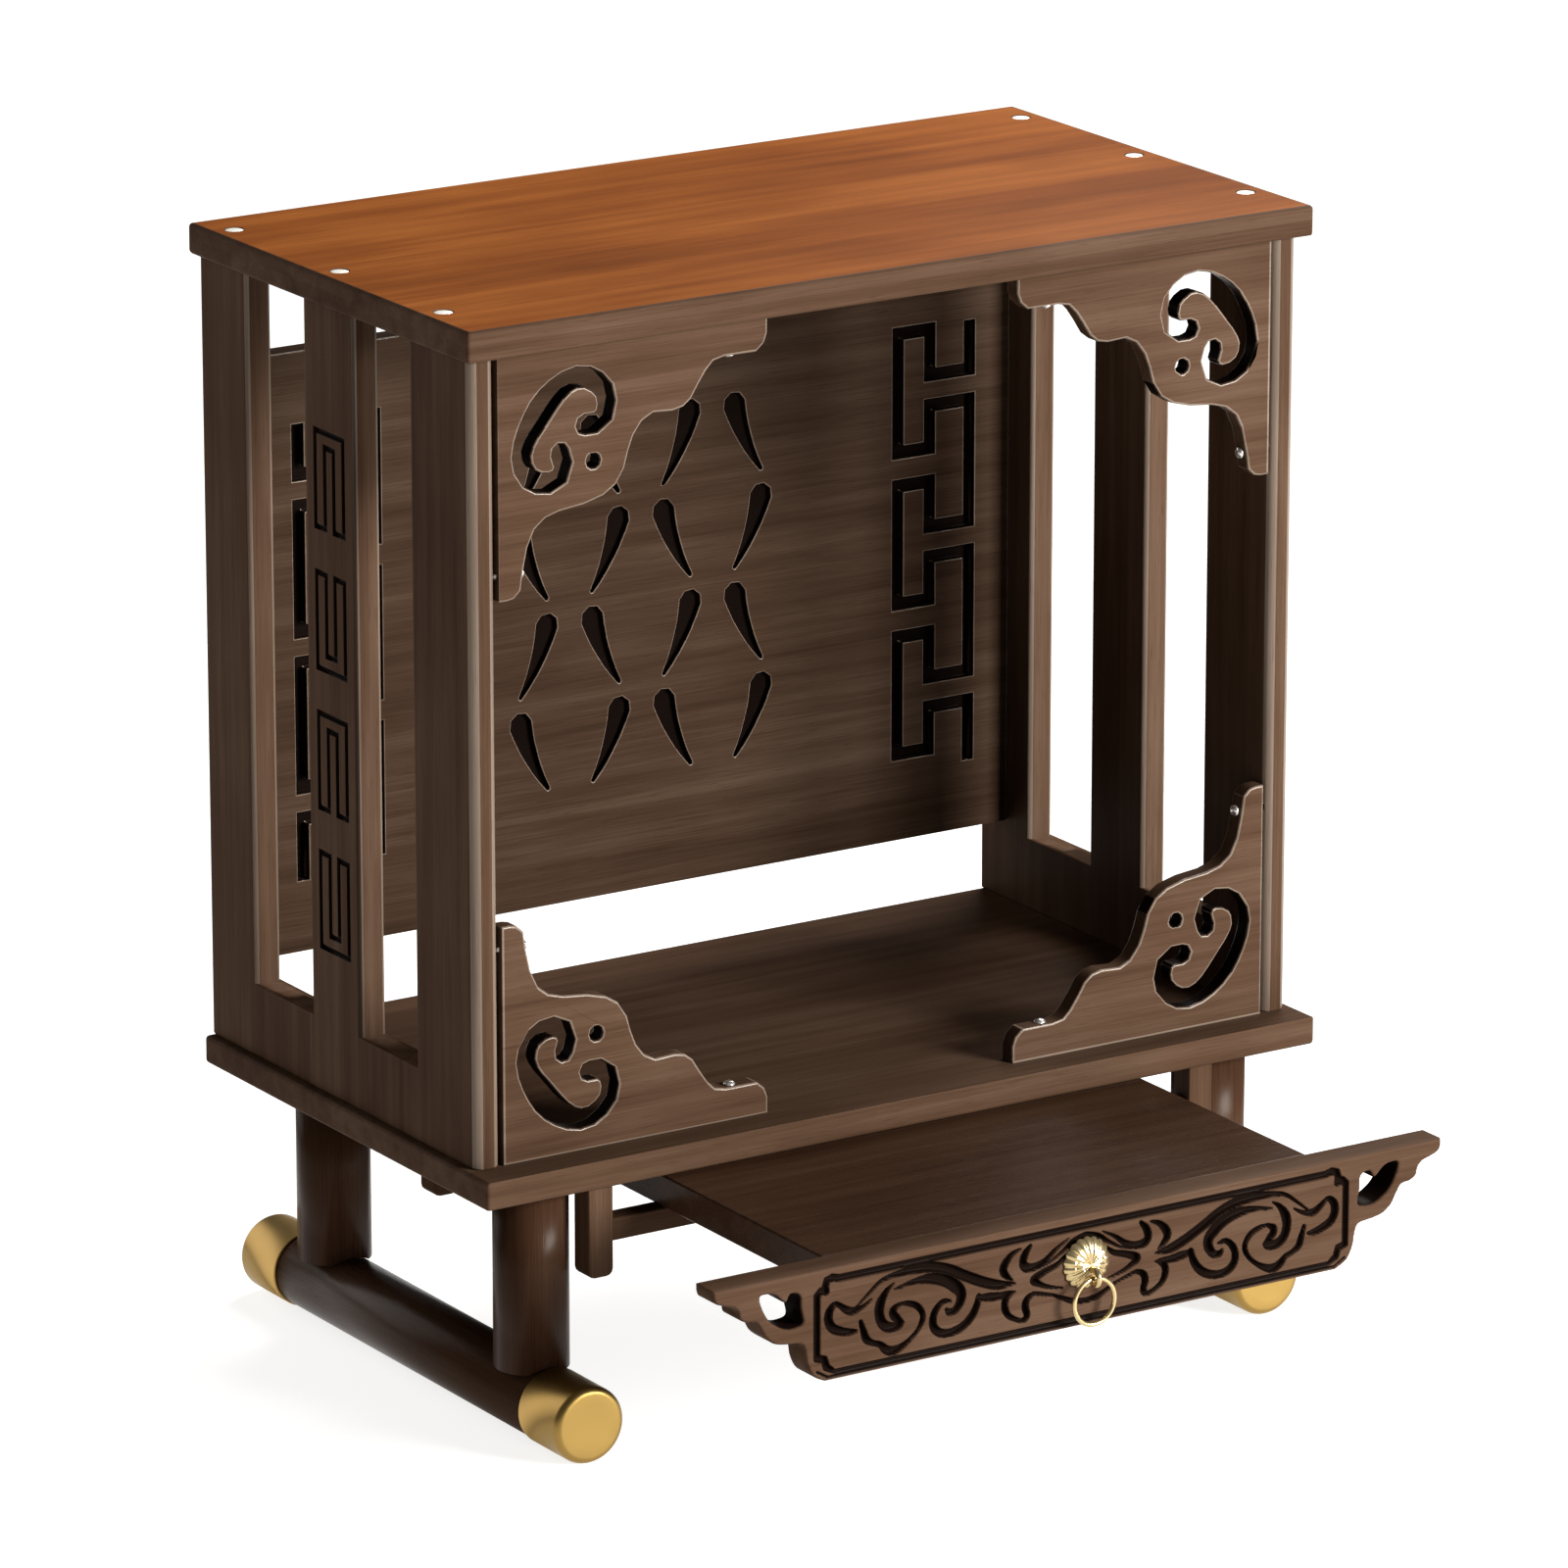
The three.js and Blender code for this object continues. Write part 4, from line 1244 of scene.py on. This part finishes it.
    @staticmethod
    def _mesh(
        x: np.ndarray, v: np.ndarray, sunk: np.ndarray, shade: np.ndarray, kept: np.ndarray,
        front: float, back: float, top: float,
    ) -> bpy.types.Mesh:
        """Joins the carved face, the edge all round and the flat back into one mesh.

        Args:
            x: Their distances from the middle.
            v: Their distances below the top edge.
            sunk: How far the face lies behind the front.
            shade: How dark it is coloured, by dark stain and painted shade.
            kept: Which cells are wood.
            front: The front's place, in millimetres.
            back: The back's place.
            top: The top edge's height.

        Returns:
            The mesh.
        """
        bm = bmesh.new()
        hollow = bm.verts.layers.float.new("carved")
        verts: dict[tuple[int, int], bmesh.types.BMVert] = {}

        def vert(row: int, column: int) -> bmesh.types.BMVert:
            """The vertex at a grid corner, made when it is first used.

            Args:
                row: The corner's row.
                column: Its column.

            Returns:
                The vertex.
            """
            key = (row, column)
            if key not in verts:
                made = bm.verts.new((x[key] * MM, (front + sunk[key]) * MM, (top - v[key]) * MM))
                made[hollow] = shade[key]
                verts[key] = made
            return verts[key]

        for row, column in zip(*np.nonzero(kept)):
            bm.faces.new((vert(row, column), vert(row, column + 1),
                          vert(row + 1, column + 1), vert(row + 1, column)))
        border = [edge for edge in bm.edges if edge.is_boundary]
        walls = bmesh.ops.extrude_edge_only(bm, edges=border)["geom"]
        moved = [item for item in walls if isinstance(item, bmesh.types.BMVert)]
        for item in moved:
            item.co.y = back * MM
        rear = [item for item in walls if isinstance(item, bmesh.types.BMEdge) and item.is_boundary]
        bmesh.ops.triangle_fill(bm, edges=rear, use_beauty=True, use_dissolve=False, normal=(0, 1, 0))
        for edge in bm.edges:
            back_edge = all(end.co.y > (back - 0.1) * MM for end in edge.verts)
            edge.smooth = not back_edge
        return mesh_from(bm, "tray_front")


@dataclass
class Tray:
    """The tray board, its carved front and the ring pull."""

    shop: Workshop
    board_arris: float = 0.9
    petals: int = 18
    boss_steps: int = 144
    tiers: int = 40
    tier_step: float = 0.14
    rib_height: float = 0.55
    rib_cut: float = 0.07
    rim_height: float = 0.6
    crown_share: float = 0.08
    ring_wire: float = 0.95
    eye_wire: float = 1.2
    eye_radius: float = 3.1
    eye_drop: float = 4.5
    wire_sides: int = 16

    def build(self) -> None:
        """Builds the tray."""
        mesh = softened("tray_board", lambda at: self.board_arris)
        round_arrises(self.shop.piece("tray_board", mesh, GLOSSY_WOOD, Grain.ACROSS, Slot.DARK_WOOD))
        TrayFront(self.shop).build()
        self._boss()
        self._ring()

    def _boss(self) -> None:
        """A ribbed flower of petals in three tiers, cast with the eye for the ring."""
        low, high = (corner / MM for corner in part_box("pull_boss"))
        radius = (high.x - low.x) / 2
        face = high.y
        centre_z = high.z - radius
        tall = face - low.y - 2 * self.eye_radius
        bm = bmesh.new()
        rings = []
        for tier in range(self.tiers + 1):
            share = 1 - tier / self.tiers
            ring = []
            for i in range(self.boss_steps):
                angle = math.tau * i / self.boss_steps
                rib = abs(math.cos(angle * self.petals / 2))
                step = self.tier_step * (0.5 - ((share * 3) % 1.0)) * (share < 0.98)
                edge = radius * share * (1 - self.rib_cut * (1 - rib) * share)
                rise = tall * math.sqrt(max(1 - share**2.2, 0)) * 0.93
                swell = self.rib_height * rib * math.sin(math.pi * min(share * 1.02, 1))
                height = rise + swell + step
                x, z = edge * math.sin(angle), centre_z + edge * math.cos(angle)
                ring.append(bm.verts.new((x * MM, (face - max(height, self.rim_height)) * MM, z * MM)))
            rings.append(ring)
            if share < self.crown_share:
                break
        skirt = [bm.verts.new((v.co.x, face * MM, v.co.z)) for v in rings[0]]
        rings.insert(0, skirt)
        for outer, inner in zip(rings, rings[1:]):
            for i in range(self.boss_steps):
                j = (i + 1) % self.boss_steps
                bm.faces.new((outer[i], outer[j], inner[j], inner[i]))
        bm.faces.new(rings[-1])
        bm.faces.new(skirt[::-1])
        eye = Vector((0, low.y + self.eye_radius + self.eye_wire, centre_z - self.eye_drop))
        self._wire(bm, eye, self.eye_radius, self.eye_wire, Grain.ACROSS, 32)
        mesh = mesh_from(bm, "pull_boss")
        self.shop.piece("pull_boss", mesh, POLISHED_BRASS, Grain.DEEP, Slot.BRASS)

    def _ring(self) -> None:
        """The pull ring, hanging in the eye."""
        low, high = (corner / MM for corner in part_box("pull_ring"))
        bm = bmesh.new()
        radius = (high.x - low.x) / 2 - self.ring_wire
        self._wire(bm, (low + high) / 2, radius, self.ring_wire, Grain.DEEP, 96)
        self.shop.piece("pull_ring", mesh_from(bm, "pull_ring"), POLISHED_BRASS, Grain.DEEP, Slot.BRASS)

    def _wire(
        self, bm: bmesh.types.BMesh, centre: Vector, radius: float, wire: float, axis: Grain, steps: int
    ) -> None:
        """Adds a closed ring of round wire, with its sizes in millimetres.

        Args:
            bm: The bmesh that it goes into.
            centre: The ring's middle.
            radius: From the middle to the wire's own middle.
            wire: The wire's radius.
            axis: The axis that the ring goes round.
            steps: How many steps go round the ring.
        """
        first, second = ROUND_AXES[axis.value]
        sides = self.wire_sides
        loops = []
        for i in range(steps):
            angle = math.tau * i / steps
            loop = []
            for j in range(sides):
                turn = math.tau * j / sides
                point = centre.copy()
                point[first] += (radius + wire * math.cos(turn)) * math.cos(angle)
                point[second] += (radius + wire * math.cos(turn)) * math.sin(angle)
                point[axis.value] += wire * math.sin(turn)
                loop.append(bm.verts.new(point * MM))
            loops.append(loop)
        for here, there in zip(loops, loops[1:] + loops[:1]):
            for j in range(sides):
                k = (j + 1) % sides
                bm.faces.new((here[j], there[j], there[k], here[k]))


# The studio


@dataclass
class Studio:
    """The camera at the photograph's viewing angle, the pale floor and the soft lights.

    The camera's place, lens and sensor are in millimetres, everything else in metres.
    """

    camera_mm: tuple[float, float, float] = (-2103.1, -3244.95, 1385.4)
    azimuth: float = -32.578
    elevation: float = 16.515
    lens: float = 228.69
    sensor: float = 36.0
    floor_size: float = 40.0
    floor_colours: tuple[Colour, Colour] = ((0.40, 0.398, 0.392), (0.42, 0.418, 0.412))
    floor_glow: float = 2.0
    sky: Colour = (1.0, 0.995, 0.985)
    sky_strength: float = 0.12
    aim: tuple[float, float, float] = (0.0, 0.0, 0.22)

    def camera(self) -> None:
        """Sets up the camera."""
        data = bpy.data.cameras.new("camera")
        data.lens = self.lens
        data.sensor_width = self.sensor
        data.clip_end = 100
        camera = bpy.data.objects.new("camera", data)
        bpy.context.scene.collection.objects.link(camera)
        azimuth, elevation = math.radians(self.azimuth), math.radians(self.elevation)
        look = Vector((-math.sin(azimuth) * math.cos(elevation), math.cos(azimuth) * math.cos(elevation),
                       -math.sin(elevation)))
        camera.location = Vector(self.camera_mm) * MM
        camera.rotation_euler = look.to_track_quat("-Z", "Y").to_euler()
        bpy.context.scene.camera = camera

    def floor(self) -> None:
        """Lays the pale floor."""
        bm = bmesh.new()
        bmesh.ops.create_grid(bm, x_segments=1, y_segments=1, size=self.floor_size / 2)
        floor = bpy.data.objects.new("floor", mesh_from(bm, "floor", smooth=False))
        bpy.context.scene.collection.objects.link(floor)
        graph = Graph("pale_floor")
        mottle = graph.noise(graph.node("ShaderNodeTexCoord", output="Object"), 2.0, 0.5, 3.0)
        colour = graph.mix(mottle, *self.floor_colours)
        pale = graph.surface(
            Base_Color=colour,
            Roughness=0.6,
            Specular_IOR_Level=0.1,
            Emission_Color=colour,
            Emission_Strength=self.floor_glow,
        )
        floor.data.materials.append(pale)

    def lights(self) -> None:
        """Hangs the soft lights."""
        self._light("key", (1.5, -2.7, 1.05), 1.2, 345.0, (0.94, 0.975, 1.0))
        self._light("top", (0.95, 0.75, 1.35), 0.8, 30.0, (1.0, 0.985, 0.965))
        self._light("left_card", (-1.3, 3.0, 1.6), 2.6, 50.0, (1.0, 0.98, 0.95))
        world = bpy.data.worlds.new("studio")
        world.use_nodes = True
        background = world.node_tree.nodes["Background"]
        background.inputs["Color"].default_value = (*self.sky, 1.0)
        background.inputs["Strength"].default_value = self.sky_strength
        bpy.context.scene.world = world
        view = bpy.context.scene.view_settings
        view.view_transform = "Standard"
        view.look = "None"

    def _light(
        self, name: str, place: tuple[float, float, float], size: float, watts: float, colour: Colour
    ) -> None:
        """Hangs one square light that faces the cabinet.

        Args:
            name: Its name.
            place: Where it hangs, in metres.
            size: The length of its side.
            watts: Its power.
            colour: Its colour.
        """
        data = bpy.data.lights.new(name, "AREA")
        data.shape = "SQUARE"
        data.size = size
        data.energy = watts
        data.color = colour
        light = bpy.data.objects.new(name, data)
        light.location = place
        aim = Vector(self.aim) - Vector(place)
        light.rotation_euler = aim.to_track_quat("-Z", "Y").to_euler()
        bpy.context.scene.collection.objects.link(light)


def main() -> None:
    """Builds the studio and the altar."""
    logging.basicConfig(level=logging.INFO, stream=sys.stdout, format="%(name)s %(message)s")
    studio = Studio()
    studio.camera()
    studio.floor()
    studio.lights()
    shop = Workshop(Finishes())
    for part in (Cabinet(shop), Feet(shop), Screws(shop), Tray(shop)):
        part.build()
        log.info("%s done, %d pieces so far", type(part).__name__, shop.count)


if __name__ == "__main__":
    main()
